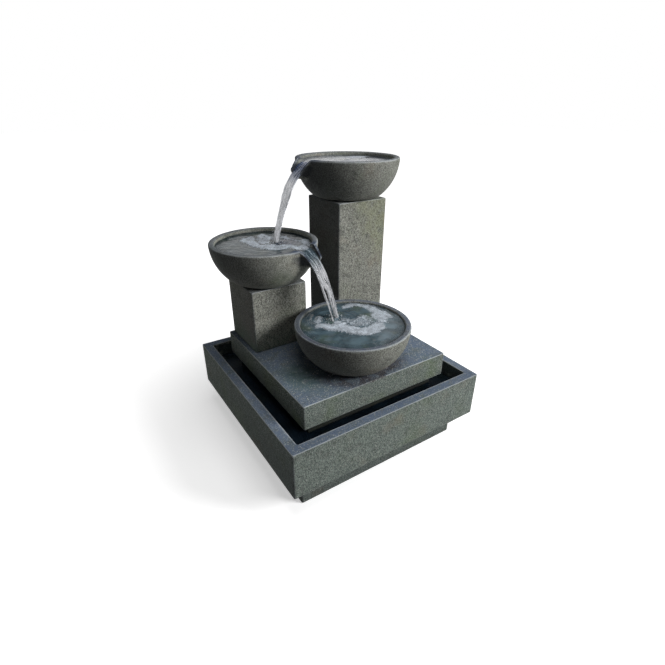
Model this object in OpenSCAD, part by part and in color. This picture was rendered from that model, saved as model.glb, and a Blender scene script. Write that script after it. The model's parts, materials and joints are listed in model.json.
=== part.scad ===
// Cascading fountain. A square basin on a recessed foot holds a raised deck
// with two hollow pedestals. Three bowls pour into each other, and a pump in
// the riser under the deck lifts the water to the top bowl.
// Origin: centre of the foot's underside. +Z is up and -Y is the front.

/* [Basin] */
// Outer width of the square basin
basin_w = 660; // [640:5:760]
// Height of the basin's side above its foot
basin_h = 148; // [136:1:180]
// Thickness of the basin's wall
basin_wall = 30; // [22:1:36]
// Thickness of the basin's floor
basin_floor = 24; // [16:1:32]
// Radius of the basin's upright corners
basin_corner = 6; // [3:0.5:10]
// Height of the recessed foot
foot_h = 86; // [50:1:120]
// How far the foot stands back from the basin's side
foot_inset = 46; // [25:1:70]
// Thickness of the foot's wall
foot_wall = 30; // [20:1:45]
// Height of the rim above the water in the basin
basin_freeboard = 48; // [40:1:60]
// Width of the open moat between the basin's wall and the deck
moat_w = 47.5; // [40:0.5:60]

/* [Deck] */
// Thickness of the deck at its edge
deck_t = 76; // [60:1:90]
// Height of the deck's top above the basin's rim
deck_rise = 63; // [50:1:90]
// Thickness of the deck's top plate
deck_plate = 22; // [16:1:30]
// Radius of the deck's upright corners
deck_corner = 4; // [2:0.5:8]
// How far the riser stands back under the deck's edge
riser_inset = 25; // [15:1:35]
// Thickness of the riser's wall
riser_wall = 22; // [16:1:28]
// Width of each water port at the riser's foot
port_w = 60; // [40:1:80]
// Height of each water port
port_h = 24; // [16:1:34]

/* [Pedestals] */
// Width of both square pedestals
pedestal_w = 183; // [176:1:190]
// Thickness of a pedestal's wall and top
pedestal_wall = 18; // [12:1:24]
// Radius of a pedestal's upright corners
pedestal_corner = 4; // [2:0.5:8]
// Height of the short pedestal
short_h = 200; // [185:1:240]
// Height of the tall pedestal
tall_h = 420; // [400:1:480]
// Gap from the deck's back edge to both pedestals
pedestal_back_gap = 6; // [3:0.5:10]
// Gap from the deck's left edge to the short pedestal
short_side_gap = 15; // [3:0.5:20]
// Gap from the deck's right edge to the tall pedestal
tall_side_gap = 4; // [2:0.5:10]

/* [Bowls] */
// Diameter of the top bowl and of the middle bowl at the rim
spout_bowl_d = 328; // [316:1:334]
// Diameter of the bottom bowl at the rim
bottom_bowl_d = 342; // [320:1:360]
// Height of every bowl
bowl_h = 120; // [110:1:130]
// Thickness of a bowl's wall and rim
bowl_wall = 18; // [14:1:22]
// Radius of the arc of a bowl's outer side
bowl_arc_r = 147.5; // [140:0.5:155]
// Radius of the round edge between a bowl's side and its base
base_round = 40; // [30:1:50]
// Radius of the rim's edges
rim_round = 5; // [3:0.5:8]
// Place of the bottom bowl's centre, to the right of the deck's centre
bottom_bowl_x = -6; // [-30:1:20]
// Gap between the pedestals' fronts and the bottom bowl's rim
bottom_bowl_gap = 10.5; // [4:0.5:20]
// Height of the rim above the water in the top and middle bowls
bowl_freeboard = 12; // [9:0.5:14]
// Height of the rim above the water in the bottom bowl
bottom_freeboard = 6; // [5:0.5:9]

/* [Spouts] */
// How far a spout's tip stands out past the rim
spout_reach = 22; // [16:1:30]
// How far the lips at the tip lie below the rim
spout_drop = 32; // [24:1:40]
// Width between the lips at the tip
spout_w = 50; // [40:1:56]
// Width between the lips where they leave the rim
spout_flare_w = 74; // [60:1:84]
// Thickness of each lip
spout_lip = 10; // [8:0.5:12]
// Depth of the channel below its lips
spout_depth = 14; // [12:0.5:18]
// Thickness of the spout under its channel
spout_floor = 10; // [7:0.5:14]

/* [Falls] */
// How far in front of its tip the upper fall lands
upper_fall_out = 76; // [60:1:90]
// How far in front of its tip the lower fall lands
lower_fall_out = 62; // [50:1:80]
// Thickness of a fall of water
fall_t = 9; // [6:0.5:11]

/* [Pump] */
// Length of the motor body
pump_l = 52; // [44:1:60]
// Width of the motor body
pump_w = 48; // [44:1:56]
// Height of the motor body
pump_h = 50; // [46:1:56]
// Height of the suction feet
suction_h = 6; // [5:0.5:9]
// Outer radius of the round pump cover
volute_r = 21; // [20:0.5:22]
// Length of the pump cover
volute_l = 18; // [16:0.5:20]
// Depth of the intake cover in front of the pump cover
intake_l = 16; // [14:0.5:18]
// Outer radius of the hose
hose_r = 9.2; // [8.6:0.1:10]
// Outer radius of the outlet tube and of the inlet's tail
tail_r = 6.5; // [6:0.1:7]
// Bore radius of the outlet tube and of the inlet fitting
flow_bore_r = 4.5; // [3.5:0.1:5]

/* [Hidden] */

// How far a cut runs past the face that it opens
overrun = 1;
// Gap between still water and what holds it
water_gap = 0.3;
// Radial gap of a part that turns or slides in its bore
running_gap = 0.05;
// Segments of a large round, of a small round and of a rounded hull
fine_segments = 180;
small_segments = 48;
hull_segments = 32;

stone = "#6f756c";
stone_dark = "#4a4f4a";
water = "#8fa9b3";
rubber = "#202224";
moulded = "#2b2f33";

// Levels of the stacked castings
floor_z = foot_h + basin_floor;
rim_z = foot_h + basin_h;
deck_top = rim_z + deck_rise;
deck_bottom = deck_top - deck_t;
basin_water_z = rim_z - basin_freeboard;
well_w = basin_w - 2 * basin_wall;
deck_w = well_w - 2 * moat_w;
riser_w = deck_w - 2 * riser_inset;
deck_wall = riser_inset + riser_wall;

// Places of the pedestals' centres on the deck
pedestal_y = deck_w / 2 - pedestal_back_gap - pedestal_w / 2;
short_x = short_side_gap + pedestal_w / 2 - deck_w / 2;
tall_x = deck_w / 2 - tall_side_gap - pedestal_w / 2;
short_top = deck_top + short_h;
tall_top = deck_top + tall_h;

// Pads under the bowls
pad_t = 2;
pad_r = 11;
pad_circle_r = 62;
pad_count = 3;
spout_bowl_r = spout_bowl_d / 2;
bottom_bowl_r = bottom_bowl_d / 2;
bottom_bowl_y = pedestal_y - pedestal_w / 2 - bottom_bowl_gap - bottom_bowl_r;
bottom_rim_z = deck_top + pad_t + bowl_h;
middle_rim_z = short_top + pad_t + bowl_h;
top_rim_z = tall_top + pad_t + bowl_h;

// Directions of the two spouts, towards the bowl that each one fills
top_aim = 180;
middle_aim = atan2(bottom_bowl_y - pedestal_y, bottom_bowl_x - short_x);

// Spout, from where it leaves the bowl's wall to its tip
spout_root_r = spout_bowl_r - bowl_wall;
spout_tip_r = spout_bowl_r + spout_reach;
spout_mouth = 7;
spout_edge = 4;
notch_depth = bowl_freeboard + spout_mouth;
channel_run = spout_tip_r - spout_root_r;
channel_slope = (spout_drop + spout_depth - notch_depth) / channel_run;
channel_taper = (spout_flare_w - spout_w) / channel_run;

// Hose route through the deck and the tall pedestal
hose_hole_r = 25;
fitting_hole_r = 30;
hose_bore_r = tail_r + running_gap;

// Pump, on the basin's floor under the tall pedestal
pump_axis_z = floor_z + suction_h + pump_h / 2;
pump_corner = 8;
well_r = 9.6;
well_l = pump_l * 2 / 3;
volute_bore_r = 16.5;
volute_face = 3.5;
inlet_r = 8;
shaft_r = 1.5;
magnet_r = 8.6;
blade_r = 14;
blade_count = 6;
blade_t = 1.6;
blade_gap = 1.5;
bush_r = 3;
bush_l = 4;
seal_r = 1.4;
seal_groove_r = 18.6;
outlet_l = 26;
clamp_t = 1.1;
clamp_w = 8;
clamp_box_out = 6;
clamp_box_w = 10;
hose_end_gap = 2;
intake_wall = 2;
intake_overlap = 4;
slot_w = 3;
slot_count = 5;
dial_r = 8;
dial_t = 3;
dial_pin_r = 1.8;
dial_window_r = 1.8;
dial_window_count = 4;
gland_l = 14;
gland_r = 7;
gland_waist_r = 5.2;
cable_r = 3.2;
suction_r = 7;
suction_stem_r = 3;

// Inlet fitting through the floor of the top bowl
stem_r = 10;
stem_gap = 0.4;
flange_r = 21;
flange_t = 4;
gasket_t = 2;
standpipe_h = 14;
nut_r = 17;
nut_t = 9;
tail_l = 26;

// Holes in the basin's back wall
grommet_x = -short_x;
grommet_r = 11;
grommet_drop = 22;
grommet_flange = 4.5;
grommet_flange_t = 3;
grommet_bore_r = 4.2;
drain_x = short_x;
drain_r = 15;
drain_rise = 24;
drain_head_out = 7;
drain_head_t = 6;
drain_recess = 9;
drain_grip_t = 4;

// Square of the given width with round corners, on the XY plane
module round_square(w, r) {
    square([w - 2 * r, w], center = true);
    square([w, w - 2 * r], center = true);
    for (x = [-1, 1], y = [-1, 1])
        translate([x * (w / 2 - r), y * (w / 2 - r)])
            circle(r = r, $fn = small_segments);
}

module round_block(w, h, r) {
    linear_extrude(height = h) round_square(w, r);
}

// Rod along +X from the origin
module rod_x(r, l) {
    rotate([0, 90, 0]) cylinder(r = r, h = l, $fn = small_segments);
}

// Hole or plug along +Y, at a height on the back wall
module rod_y(r, l) {
    rotate([-90, 0, 0]) cylinder(r = r, h = l, $fn = small_segments);
}

module basin() color(stone) {
    difference() {
        union() {
            translate([0, 0, foot_h]) round_block(basin_w, basin_h, basin_corner);
            round_block(basin_w - 2 * foot_inset, foot_h, basin_corner);
        }
        translate([0, 0, floor_z])
            round_block(well_w, basin_h, basin_corner);
        translate([0, 0, -overrun])
            round_block(basin_w - 2 * foot_inset - 2 * foot_wall, foot_h + overrun, basin_corner);
        translate([grommet_x, basin_w / 2 - basin_wall - overrun, rim_z - grommet_drop])
            rod_y(grommet_r, basin_wall + 2 * overrun);
        translate([grommet_x, basin_w / 2 - grommet_flange_t, rim_z - grommet_drop])
            rod_y(grommet_r + grommet_flange, grommet_flange_t + overrun);
        translate([drain_x, basin_w / 2 - basin_wall - overrun, floor_z + drain_rise])
            rod_y(drain_r, basin_wall + 2 * overrun);
        translate([drain_x, basin_w / 2 - drain_recess, floor_z + drain_rise])
            rod_y(drain_r + drain_head_out, drain_recess + overrun);
    }
}

module riser() color(stone_dark) {
    port_pitch = riser_w / 3;
    translate([0, 0, floor_z]) difference() {
        round_block(riser_w, deck_bottom - floor_z, deck_corner);
        translate([0, 0, -overrun])
            round_block(riser_w - 2 * riser_wall, deck_bottom - floor_z + 2 * overrun, deck_corner);
        for (turn = [0, 90], side = [-1, 1])
            rotate([0, 0, turn])
                translate([side * port_pitch / 2 - port_w / 2, -riser_w, -overrun])
                    cube([port_w, 2 * riser_w, port_h + overrun]);
    }
}

module deck() color(stone) {
    translate([0, 0, deck_bottom]) difference() {
        round_block(deck_w, deck_t, deck_corner);
        translate([0, 0, -overrun])
            round_block(deck_w - 2 * deck_wall, deck_t - deck_plate + overrun, deck_corner);
        translate([tall_x, pedestal_y, 0])
            cylinder(r = hose_hole_r, h = deck_t + overrun, $fn = small_segments);
    }
}

module pedestal(h) {
    difference() {
        round_block(pedestal_w, h, pedestal_corner);
        translate([0, 0, -overrun])
            round_block(pedestal_w - 2 * pedestal_wall, h - pedestal_wall + overrun, pedestal_corner);
    }
}

module short_pedestal() color(stone)
    translate([short_x, pedestal_y, deck_top]) pedestal(short_h);

module tall_pedestal() color(stone)
    translate([tall_x, pedestal_y, deck_top]) difference() {
        pedestal(tall_h);
        cylinder(r = fitting_hole_r, h = tall_h + overrun, $fn = small_segments);
    }

// Half outline of a solid bowl, rim at height zero, closed on the axis
module bowl_outline(r) {
    arc_x = r - bowl_arc_r;
    base_z = base_round - bowl_h;
    base_r = arc_x + sqrt(pow(bowl_arc_r - base_round, 2) - pow(base_z, 2));
    meet_z = bowl_arc_r * base_z / (bowl_arc_r - base_round);
    intersection() {
        union() {
            translate([arc_x, 0]) circle(r = bowl_arc_r, $fn = fine_segments);
            translate([0, -bowl_h]) square([arc_x, bowl_h]);
        }
        union() {
            translate([0, meet_z]) square([r, -meet_z - rim_round]);
            translate([0, -bowl_h]) square([base_r, bowl_h - rim_round]);
            translate([base_r, base_z]) circle(r = base_round, $fn = fine_segments);
            translate([0, -2 * rim_round]) square([r - rim_round, 2 * rim_round]);
            translate([r - rim_round, -rim_round]) circle(r = rim_round, $fn = small_segments);
        }
    }
}

// Half outline of the hollow of a bowl, smaller than the cavity by a gap
module hollow_outline(r, gap, level) {
    arc_x = r - bowl_arc_r;
    hollow_h = bowl_h - bowl_wall - gap;
    intersection() {
        union() {
            translate([arc_x, 0]) circle(r = bowl_arc_r - bowl_wall - gap, $fn = fine_segments);
            translate([0, -hollow_h]) square([arc_x, hollow_h]);
        }
        translate([0, -hollow_h]) square([r, hollow_h + level]);
    }
}

// Mouth of the cavity, whose edge is rounded towards the rim's top
module mouth_outline(r) {
    difference() {
        translate([0, -rim_round]) square([r - bowl_wall + rim_round, rim_round + overrun]);
        translate([r - bowl_wall + rim_round, -rim_round])
            circle(r = rim_round, $fn = small_segments);
    }
}

module bowl_cavity(r) {
    rotate_extrude($fn = fine_segments) hollow_outline(r, 0, 0);
    rotate_extrude($fn = fine_segments) mouth_outline(r);
}

module bowl_blank(r)
    rotate_extrude($fn = fine_segments) bowl_outline(r);

// Round ends of a bar across the spout, with its top at height zero
module lip_bar(w, r)
    for (side = [-1, 1])
        translate([0, side * (w / 2 - r), -r]) sphere(r = r, $fn = hull_segments);

// Spout that is widest at its lips and narrows towards its underside
module spout_body() {
    outer_root_w = spout_flare_w + 2 * spout_lip;
    outer_tip_w = spout_w + 2 * spout_lip;
    root_out = spout_bowl_r - 2 * spout_edge;
    tip_out = spout_tip_r - spout_edge;
    tip_low = spout_drop + spout_depth + spout_floor;
    hull() {
        translate([root_out, 0, 0]) lip_bar(outer_root_w, spout_edge);
        translate([root_out - bowl_wall, 0, -tip_low]) lip_bar(spout_w, spout_edge);
        translate([tip_out, 0, -spout_drop]) lip_bar(outer_tip_w, spout_edge);
        translate([tip_out, 0, 2 * spout_edge - tip_low]) lip_bar(spout_w, spout_edge);
    }
}

// Height of the channel's floor and its width at a distance from the centre
function channel_floor(out) = -notch_depth - channel_slope * (out - spout_root_r);
function channel_w(out) = spout_flare_w - channel_taper * (out - spout_root_r);

// Round corner rods of the channel at one distance, low and high
module channel_end(out)
    for (side = [-1, 1], z = [channel_floor(out) + spout_edge, spout_drop])
        translate([out, side * (channel_w(out) / 2 - spout_edge), z])
            sphere(r = spout_edge, $fn = hull_segments);

// Water way through the rim and down the spout
module spout_channel()
    hull() {
        channel_end(spout_root_r - bowl_wall / 2);
        channel_end(spout_tip_r + spout_reach);
    }

module spout_bowl(aim)
    difference() {
        union() {
            bowl_blank(spout_bowl_r);
            rotate([0, 0, aim]) spout_body();
        }
        bowl_cavity(spout_bowl_r);
        rotate([0, 0, aim]) spout_channel();
    }

module bottom_bowl() color(stone)
    translate([bottom_bowl_x, bottom_bowl_y, bottom_rim_z]) difference() {
        bowl_blank(bottom_bowl_r);
        bowl_cavity(bottom_bowl_r);
    }

module middle_bowl() color(stone)
    translate([short_x, pedestal_y, middle_rim_z]) spout_bowl(middle_aim);

module top_bowl() color(stone)
    translate([tall_x, pedestal_y, top_rim_z]) difference() {
        spout_bowl(top_aim);
        translate([0, 0, -bowl_h - overrun])
            cylinder(r = stem_r + stem_gap, h = bowl_h, $fn = small_segments);
    }

module pads() color(rubber)
    for (i = [0 : pad_count - 1])
        rotate([0, 0, i * 360 / pad_count])
            translate([pad_circle_r, 0, 0])
                cylinder(r = pad_r, h = pad_t, $fn = small_segments);

module bottom_bowl_pads() translate([bottom_bowl_x, bottom_bowl_y, deck_top]) pads();
module middle_bowl_pads() translate([short_x, pedestal_y, short_top]) pads();
module top_bowl_pads() translate([tall_x, pedestal_y, tall_top]) pads();

module inlet_fitting() color(moulded) {
    bowl_floor = bowl_wall - bowl_h;
    translate([tall_x, pedestal_y, top_rim_z]) difference() {
        union() {
            translate([0, 0, bowl_floor + gasket_t])
                cylinder(r = flange_r, h = flange_t, $fn = small_segments);
            translate([0, 0, -bowl_h - nut_t])
                cylinder(r = stem_r, h = nut_t + bowl_wall + gasket_t + flange_t + standpipe_h,
                    $fn = small_segments);
            translate([0, 0, -bowl_h - nut_t - tail_l])
                cylinder(r = tail_r, h = tail_l + overrun, $fn = small_segments);
        }
        translate([0, 0, -bowl_h - nut_t - tail_l - overrun])
            cylinder(r = flow_bore_r, h = bowl_h + nut_t + tail_l, $fn = small_segments);
    }
}

module inlet_gasket() color(rubber)
    translate([tall_x, pedestal_y, top_rim_z + bowl_wall - bowl_h]) difference() {
        cylinder(r = flange_r, h = gasket_t, $fn = small_segments);
        translate([0, 0, -overrun])
            cylinder(r = stem_r + stem_gap, h = gasket_t + 2 * overrun, $fn = small_segments);
    }

module inlet_nut() color(moulded)
    translate([tall_x, pedestal_y, top_rim_z - bowl_h - nut_t]) difference() {
        cylinder(r = nut_r, h = nut_t, $fn = 6);
        translate([0, 0, -overrun])
            cylinder(r = stem_r + running_gap, h = nut_t + 2 * overrun, $fn = small_segments);
    }

hose_foot_z = pump_axis_z + pump_h / 2 + hose_end_gap;
hose_head_z = top_rim_z - bowl_h - nut_t - hose_end_gap;

module delivery_hose() color("#39403c")
    translate([tall_x, pedestal_y, hose_foot_z]) difference() {
        cylinder(r = hose_r, h = hose_head_z - hose_foot_z, $fn = small_segments);
        translate([0, 0, -overrun])
            cylinder(r = hose_bore_r, h = hose_head_z - hose_foot_z + 2 * overrun,
                $fn = small_segments);
    }

module hose_clamp()
    difference() {
        union() {
            cylinder(r = hose_r + clamp_t, h = clamp_w, $fn = small_segments);
            translate([hose_r, -clamp_box_w / 2, 0])
                cube([clamp_box_out, clamp_box_w, clamp_w]);
        }
        translate([0, 0, -overrun])
            cylinder(r = hose_r + running_gap, h = clamp_w + 2 * overrun, $fn = small_segments);
    }

module hose_clamps() color("silver")
    translate([tall_x, pedestal_y, 0]) {
        translate([0, 0, hose_foot_z + clamp_w]) hose_clamp();
        translate([0, 0, hose_head_z - 2 * clamp_w]) hose_clamp();
    }

// Place of the pump: its shaft runs along X under the tall pedestal's axis
module at_pump() translate([tall_x, pedestal_y, pump_axis_z]) children();

module pump_body() color(moulded) at_pump()
    difference() {
        translate([-volute_l / 2 - pump_l, 0, 0]) rotate([90, 0, 90])
            linear_extrude(height = pump_l) {
                square([pump_w - 2 * pump_corner, pump_h], center = true);
                square([pump_w, pump_h - 2 * pump_corner], center = true);
                for (x = [-1, 1], y = [-1, 1])
                    translate([x * (pump_w / 2 - pump_corner), y * (pump_h / 2 - pump_corner)])
                        circle(r = pump_corner, $fn = small_segments);
            }
        translate([-volute_l / 2 - well_l, 0, 0]) rod_x(well_r, well_l + overrun);
        translate([-volute_l / 2 - well_l - bush_l, 0, 0]) rod_x(bush_r, bush_l + overrun);
        translate([-volute_l / 2 - pump_l - overrun, 0, 0]) rod_x(cable_r, gland_l);
    }

module pump_cover() color(moulded) at_pump() {
    front = volute_l / 2;
    difference() {
        union() {
            translate([-front, 0, 0]) rod_x(volute_r, volute_l);
            cylinder(r = tail_r, h = volute_r + outlet_l, $fn = small_segments);
        }
        translate([-front - overrun, 0, 0]) rod_x(volute_bore_r, volute_l - volute_face + overrun);
        translate([front - volute_face - overrun, 0, 0]) rod_x(inlet_r, volute_face + 2 * overrun);
        cylinder(r = flow_bore_r, h = volute_r + outlet_l + overrun, $fn = small_segments);
        translate([-front, 0, 0]) rotate([0, 90, 0]) rotate_extrude($fn = fine_segments)
            translate([seal_groove_r, 0]) circle(r = seal_r, $fn = small_segments);
    }
    // Spider that carries the shaft's front bush
    difference() {
        union() {
            translate([front - volute_face, 0, 0]) rod_x(bush_r + blade_t, volute_face);
            for (turn = [0, 120, 240])
                rotate([turn, 0, 0])
                    translate([front - volute_face, -blade_t / 2, bush_r])
                        cube([volute_face, blade_t, inlet_r - bush_r + blade_t]);
        }
        translate([front - volute_face - overrun, 0, 0]) rod_x(bush_r, volute_face + 2 * overrun);
    }
}

module cover_seal() color(rubber) at_pump()
    translate([-volute_l / 2, 0, 0]) rotate([0, 90, 0])
        difference() {
            rotate_extrude($fn = fine_segments)
                translate([seal_groove_r, 0]) circle(r = seal_r - running_gap, $fn = small_segments);
            translate([0, 0, -pump_l]) cylinder(r = pump_w, h = pump_l, $fn = small_segments);
        }

module intake_cover() color("#33383c") at_pump() {
    inner = 2 * (volute_r + running_gap);
    outer = inner + 2 * intake_wall;
    back = volute_l / 2 - intake_overlap;
    length = intake_overlap + intake_l;
    pitch = inner / (slot_count + 1);
    tube_slot = 2 * (tail_r + running_gap);
    difference() {
        translate([back, -outer / 2, -outer / 2]) cube([length, outer, outer]);
        translate([back - overrun, -inner / 2, -inner / 2])
            cube([length - intake_wall + overrun, inner, inner]);
        // The outlet tube passes through a slot that is open at the back
        translate([back - overrun, -tube_slot / 2, 0])
            cube([tube_slot / 2 - back + overrun, tube_slot, outer]);
        for (i = [1 : slot_count], side = [-1, 1])
            translate([back + length - intake_wall - overrun, i * pitch - inner / 2 - slot_w / 2,
                    side > 0 ? dial_r + slot_w : slot_w - inner / 2])
                cube([intake_wall + 2 * overrun, slot_w, inner / 2 - dial_r - 2 * slot_w]);
        for (i = [1 : slot_count - 2])
            translate([back + intake_overlap + i * 2 * slot_w - slot_w, -outer, slot_w - inner / 2])
                cube([slot_w, 2 * outer, inner - 2 * slot_w]);
        for (turn = [0 : dial_window_count - 1])
            translate([back + length - intake_wall - overrun, 0, 0])
                rotate([turn * 360 / dial_window_count, 0, 0])
                    translate([0, 0, (dial_r + dial_pin_r) / 2])
                        rod_x(dial_window_r, intake_wall + 2 * overrun);
    }
    translate([back + length - overrun, 0, 0]) rod_x(dial_pin_r, dial_t + overrun);
}

module flow_dial() color("#b8552a") at_pump() {
    face = volute_l / 2 + intake_l;
    difference() {
        union() {
            translate([face + running_gap, 0, 0]) rod_x(dial_r, dial_t - running_gap);
            translate([face + running_gap, -blade_t / 2, -dial_r - dial_t])
                cube([dial_t - running_gap, blade_t, dial_t + slot_w]);
        }
        translate([face - overrun, 0, 0])
            rod_x(dial_pin_r + running_gap, dial_t + 2 * overrun);
        for (turn = [0 : dial_window_count - 1])
            translate([face - overrun, 0, 0]) rotate([turn * 360 / dial_window_count, 0, 0])
                translate([0, 0, (dial_r + dial_pin_r) / 2])
                    rod_x(dial_window_r, dial_t + 2 * overrun);
    }
}

module impeller() color("#d8d4c4") at_pump() {
    back = -volute_l / 2;
    front = volute_l / 2 - volute_face - blade_gap;
    difference() {
        union() {
            translate([back - well_l + blade_gap, 0, 0]) rod_x(magnet_r, well_l);
            translate([back + blade_gap, 0, 0]) rod_x(blade_r, blade_t);
            for (i = [0 : blade_count - 1])
                rotate([i * 360 / blade_count, 0, 0])
                    translate([back + blade_gap, -blade_t / 2, 0])
                        cube([front - back - blade_gap, blade_t, blade_r]);
            translate([back + blade_gap, 0, 0]) rod_x(bush_r, front - back - blade_gap);
        }
        translate([back - well_l, 0, 0]) rod_x(shaft_r + running_gap, well_l + volute_l);
    }
}

module impeller_shaft() color("ivory") at_pump()
    translate([-volute_l / 2 - well_l - bush_l / 2, 0, 0])
        rod_x(shaft_r, well_l + bush_l / 2 + volute_l - volute_face / 2);

module shaft_bushes() color(rubber) at_pump() {
    difference() {
        translate([-volute_l / 2 - well_l - bush_l, 0, 0]) rod_x(bush_r - running_gap, bush_l);
        translate([-volute_l / 2 - well_l - bush_l / 2, 0, 0])
            rod_x(shaft_r + running_gap, bush_l);
    }
    difference() {
        translate([volute_l / 2 - volute_face, 0, 0]) rod_x(bush_r - running_gap, volute_face);
        translate([volute_l / 2 - volute_face - overrun, 0, 0])
            rod_x(shaft_r + running_gap, volute_face / 2 + overrun);
    }
}

module suction_feet() color(rubber)
    translate([tall_x - volute_l / 2 - pump_l / 2, pedestal_y, floor_z])
        for (x = [-1, 1], y = [-1, 1])
            translate([x * (pump_l / 2 - suction_r), y * (pump_w / 2 - suction_r), 0]) {
                cylinder(r1 = suction_r, r2 = suction_stem_r, h = suction_h / 2, $fn = small_segments);
                cylinder(r = suction_stem_r, h = suction_h, $fn = small_segments);
            }

module cable_gland() color(rubber) at_pump()
    translate([-volute_l / 2 - pump_l - gland_l, 0, 0]) difference() {
        union() {
            rod_x(gland_waist_r, gland_l);
            translate([gland_l * 2 / 3, 0, 0]) rod_x(gland_r, gland_l / 3);
        }
        translate([-overrun, 0, 0]) rod_x(cable_r, gland_l + 2 * overrun);
    }

module cable_grommet() color(rubber) {
    flange = grommet_r + grommet_flange - running_gap;
    inner_y = basin_w / 2 - basin_wall - grommet_flange_t;
    translate([grommet_x, 0, rim_z - grommet_drop]) difference() {
        union() {
            translate([0, inner_y, 0])
                rod_y(grommet_r - running_gap, basin_wall + grommet_flange_t);
            translate([0, inner_y, 0]) rod_y(flange, grommet_flange_t);
            translate([0, basin_w / 2 - grommet_flange_t, 0]) rod_y(flange, grommet_flange_t);
        }
        translate([0, inner_y - overrun, 0])
            rod_y(grommet_bore_r, basin_wall + grommet_flange_t + 2 * overrun);
    }
}

module drain_plug() color(rubber) {
    shank = basin_wall - drain_recess;
    translate([drain_x, basin_w / 2 - basin_wall, floor_z + drain_rise]) {
        rod_y(drain_r - running_gap, shank);
        translate([0, shank, 0])
            rod_y(drain_r + drain_head_out - drain_grip_t, drain_head_t);
        translate([-drain_grip_t / 2, shank, -drain_r / 2])
            cube([drain_grip_t, drain_recess, drain_r]);
    }
}

module basin_water() color(water, 0.6)
    translate([0, 0, floor_z + water_gap]) difference() {
        round_block(well_w - 2 * water_gap, basin_water_z - floor_z - water_gap, basin_corner);
        translate([0, 0, -overrun])
            round_block(riser_w + 2 * water_gap, basin_h, deck_corner);
    }

module pool(r, freeboard)
    rotate_extrude($fn = fine_segments) hollow_outline(r, water_gap, -freeboard);

module bottom_pool() color(water, 0.6)
    translate([bottom_bowl_x, bottom_bowl_y, bottom_rim_z]) pool(bottom_bowl_r, bottom_freeboard);

module middle_pool() color(water, 0.6)
    translate([short_x, pedestal_y, middle_rim_z]) pool(spout_bowl_r, bowl_freeboard);

module top_pool() color(water, 0.6)
    translate([tall_x, pedestal_y, top_rim_z]) difference() {
        pool(spout_bowl_r, bowl_freeboard);
        translate([0, 0, -bowl_h])
            cylinder(r = flange_r + water_gap, h = bowl_wall + gasket_t + flange_t + water_gap,
                $fn = small_segments);
        translate([0, 0, -bowl_h])
            cylinder(r = stem_r + water_gap,
                h = bowl_wall + gasket_t + flange_t + standpipe_h + water_gap,
                $fn = small_segments);
    }

// A fall is swept along its middle line, down the channel and then free, as
// distance out from the bowl's centre and height over the bowl's rim.
fall_sides = 12;
channel_steps = 4;
free_steps = 16;
fall_steps = channel_steps + free_steps;
fall_slope_share = 0.38;
film_share = 0.66;
channel_fill_share = 0.9;
// Share of the way down, then share of the spout's width
main_width_shares = [[0, 1], [0.25, 0.84], [0.5, 0.68], [0.75, 0.58], [1, 0.5]];
side_width_shares = [[0, 0.5], [0.3, 0.3], [0.5, 0.14], [1, 0.1]];
// Share of the way down, then sideways place as a share of the spout's width
main_shift_shares = [[0, 0], [0.3, 0], [0.6, 0.04], [1, 0.05]];
side_shift_shares = [[0, -0.15], [0.3, -0.24], [0.6, -0.36], [1, -0.34]];
thickness_shares = [[0, 0.66], [0.3, 1], [1, 1]];

film_t = fall_t * film_share;
film_rise = (film_t / 2 + water_gap) * sqrt(1 + pow(channel_slope, 2));
tongue_start = spout_root_r + film_t / 3;
tip_water_z = channel_floor(spout_tip_r) + film_rise;

function way_down(i) = max(0, i - channel_steps) / free_steps;

function fall_point(i, out, drop) = i < channel_steps
    ? let (r = tongue_start + (spout_tip_r - tongue_start) * i / channel_steps)
        [r, channel_floor(r) + film_rise]
    : let (u = way_down(i))
        [spout_tip_r + out * u,
            tip_water_z - drop * (fall_slope_share * u + (1 - fall_slope_share) * u * u)];

function fall_heading(i, out, drop) = i == fall_steps
    ? [0, -1]
    : let (step = fall_point(i + 1, out, drop) - fall_point(max(0, i - 1), out, drop))
        step / norm(step);

function fall_w(i, widths) = i < channel_steps
    ? channel_w(fall_point(i, 0, 0)[0]) * channel_fill_share * widths[0][1]
    : spout_w * channel_fill_share * lookup(way_down(i), widths);

function fall_ring(i, out, drop, widths, shifts) =
    let (middle = fall_point(i, out, drop))
    let (heading = fall_heading(i, out, drop))
    let (half_w = fall_w(i, widths) / 2)
    let (half_t = fall_t * lookup(way_down(i), thickness_shares) / 2)
    let (shift = spout_w * lookup(way_down(i), shifts))
    [for (k = [0 : fall_sides - 1])
        let (turn = k * 360 / fall_sides)
        let (across = half_t * sin(turn))
        [middle[0] - heading[1] * across, shift + half_w * cos(turn),
            middle[1] + heading[0] * across]];

module strand(out, drop, widths, shifts) {
    rings = [for (i = [0 : fall_steps]) each fall_ring(i, out, drop, widths, shifts)];
    last = fall_steps * fall_sides;
    polyhedron(points = rings, faces = concat(
        [[for (k = [0 : fall_sides - 1]) k]],
        [[for (k = [fall_sides - 1 : -1 : 0]) last + k]],
        [for (i = [0 : fall_steps - 1], k = [0 : fall_sides - 1])
            let (a = i * fall_sides + k, b = i * fall_sides + (k + 1) % fall_sides)
            [a, a + fall_sides, b]],
        [for (i = [0 : fall_steps - 1], k = [0 : fall_sides - 1])
            let (a = i * fall_sides + k, b = i * fall_sides + (k + 1) % fall_sides)
            [b, a + fall_sides, b + fall_sides]]));
}

module upper_fall() color(water, 0.6) {
    drop = top_rim_z + tip_water_z - middle_rim_z + bowl_freeboard - water_gap;
    translate([tall_x, pedestal_y, top_rim_z]) rotate([0, 0, top_aim])
        strand(upper_fall_out, drop, main_width_shares, main_shift_shares);
}

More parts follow.
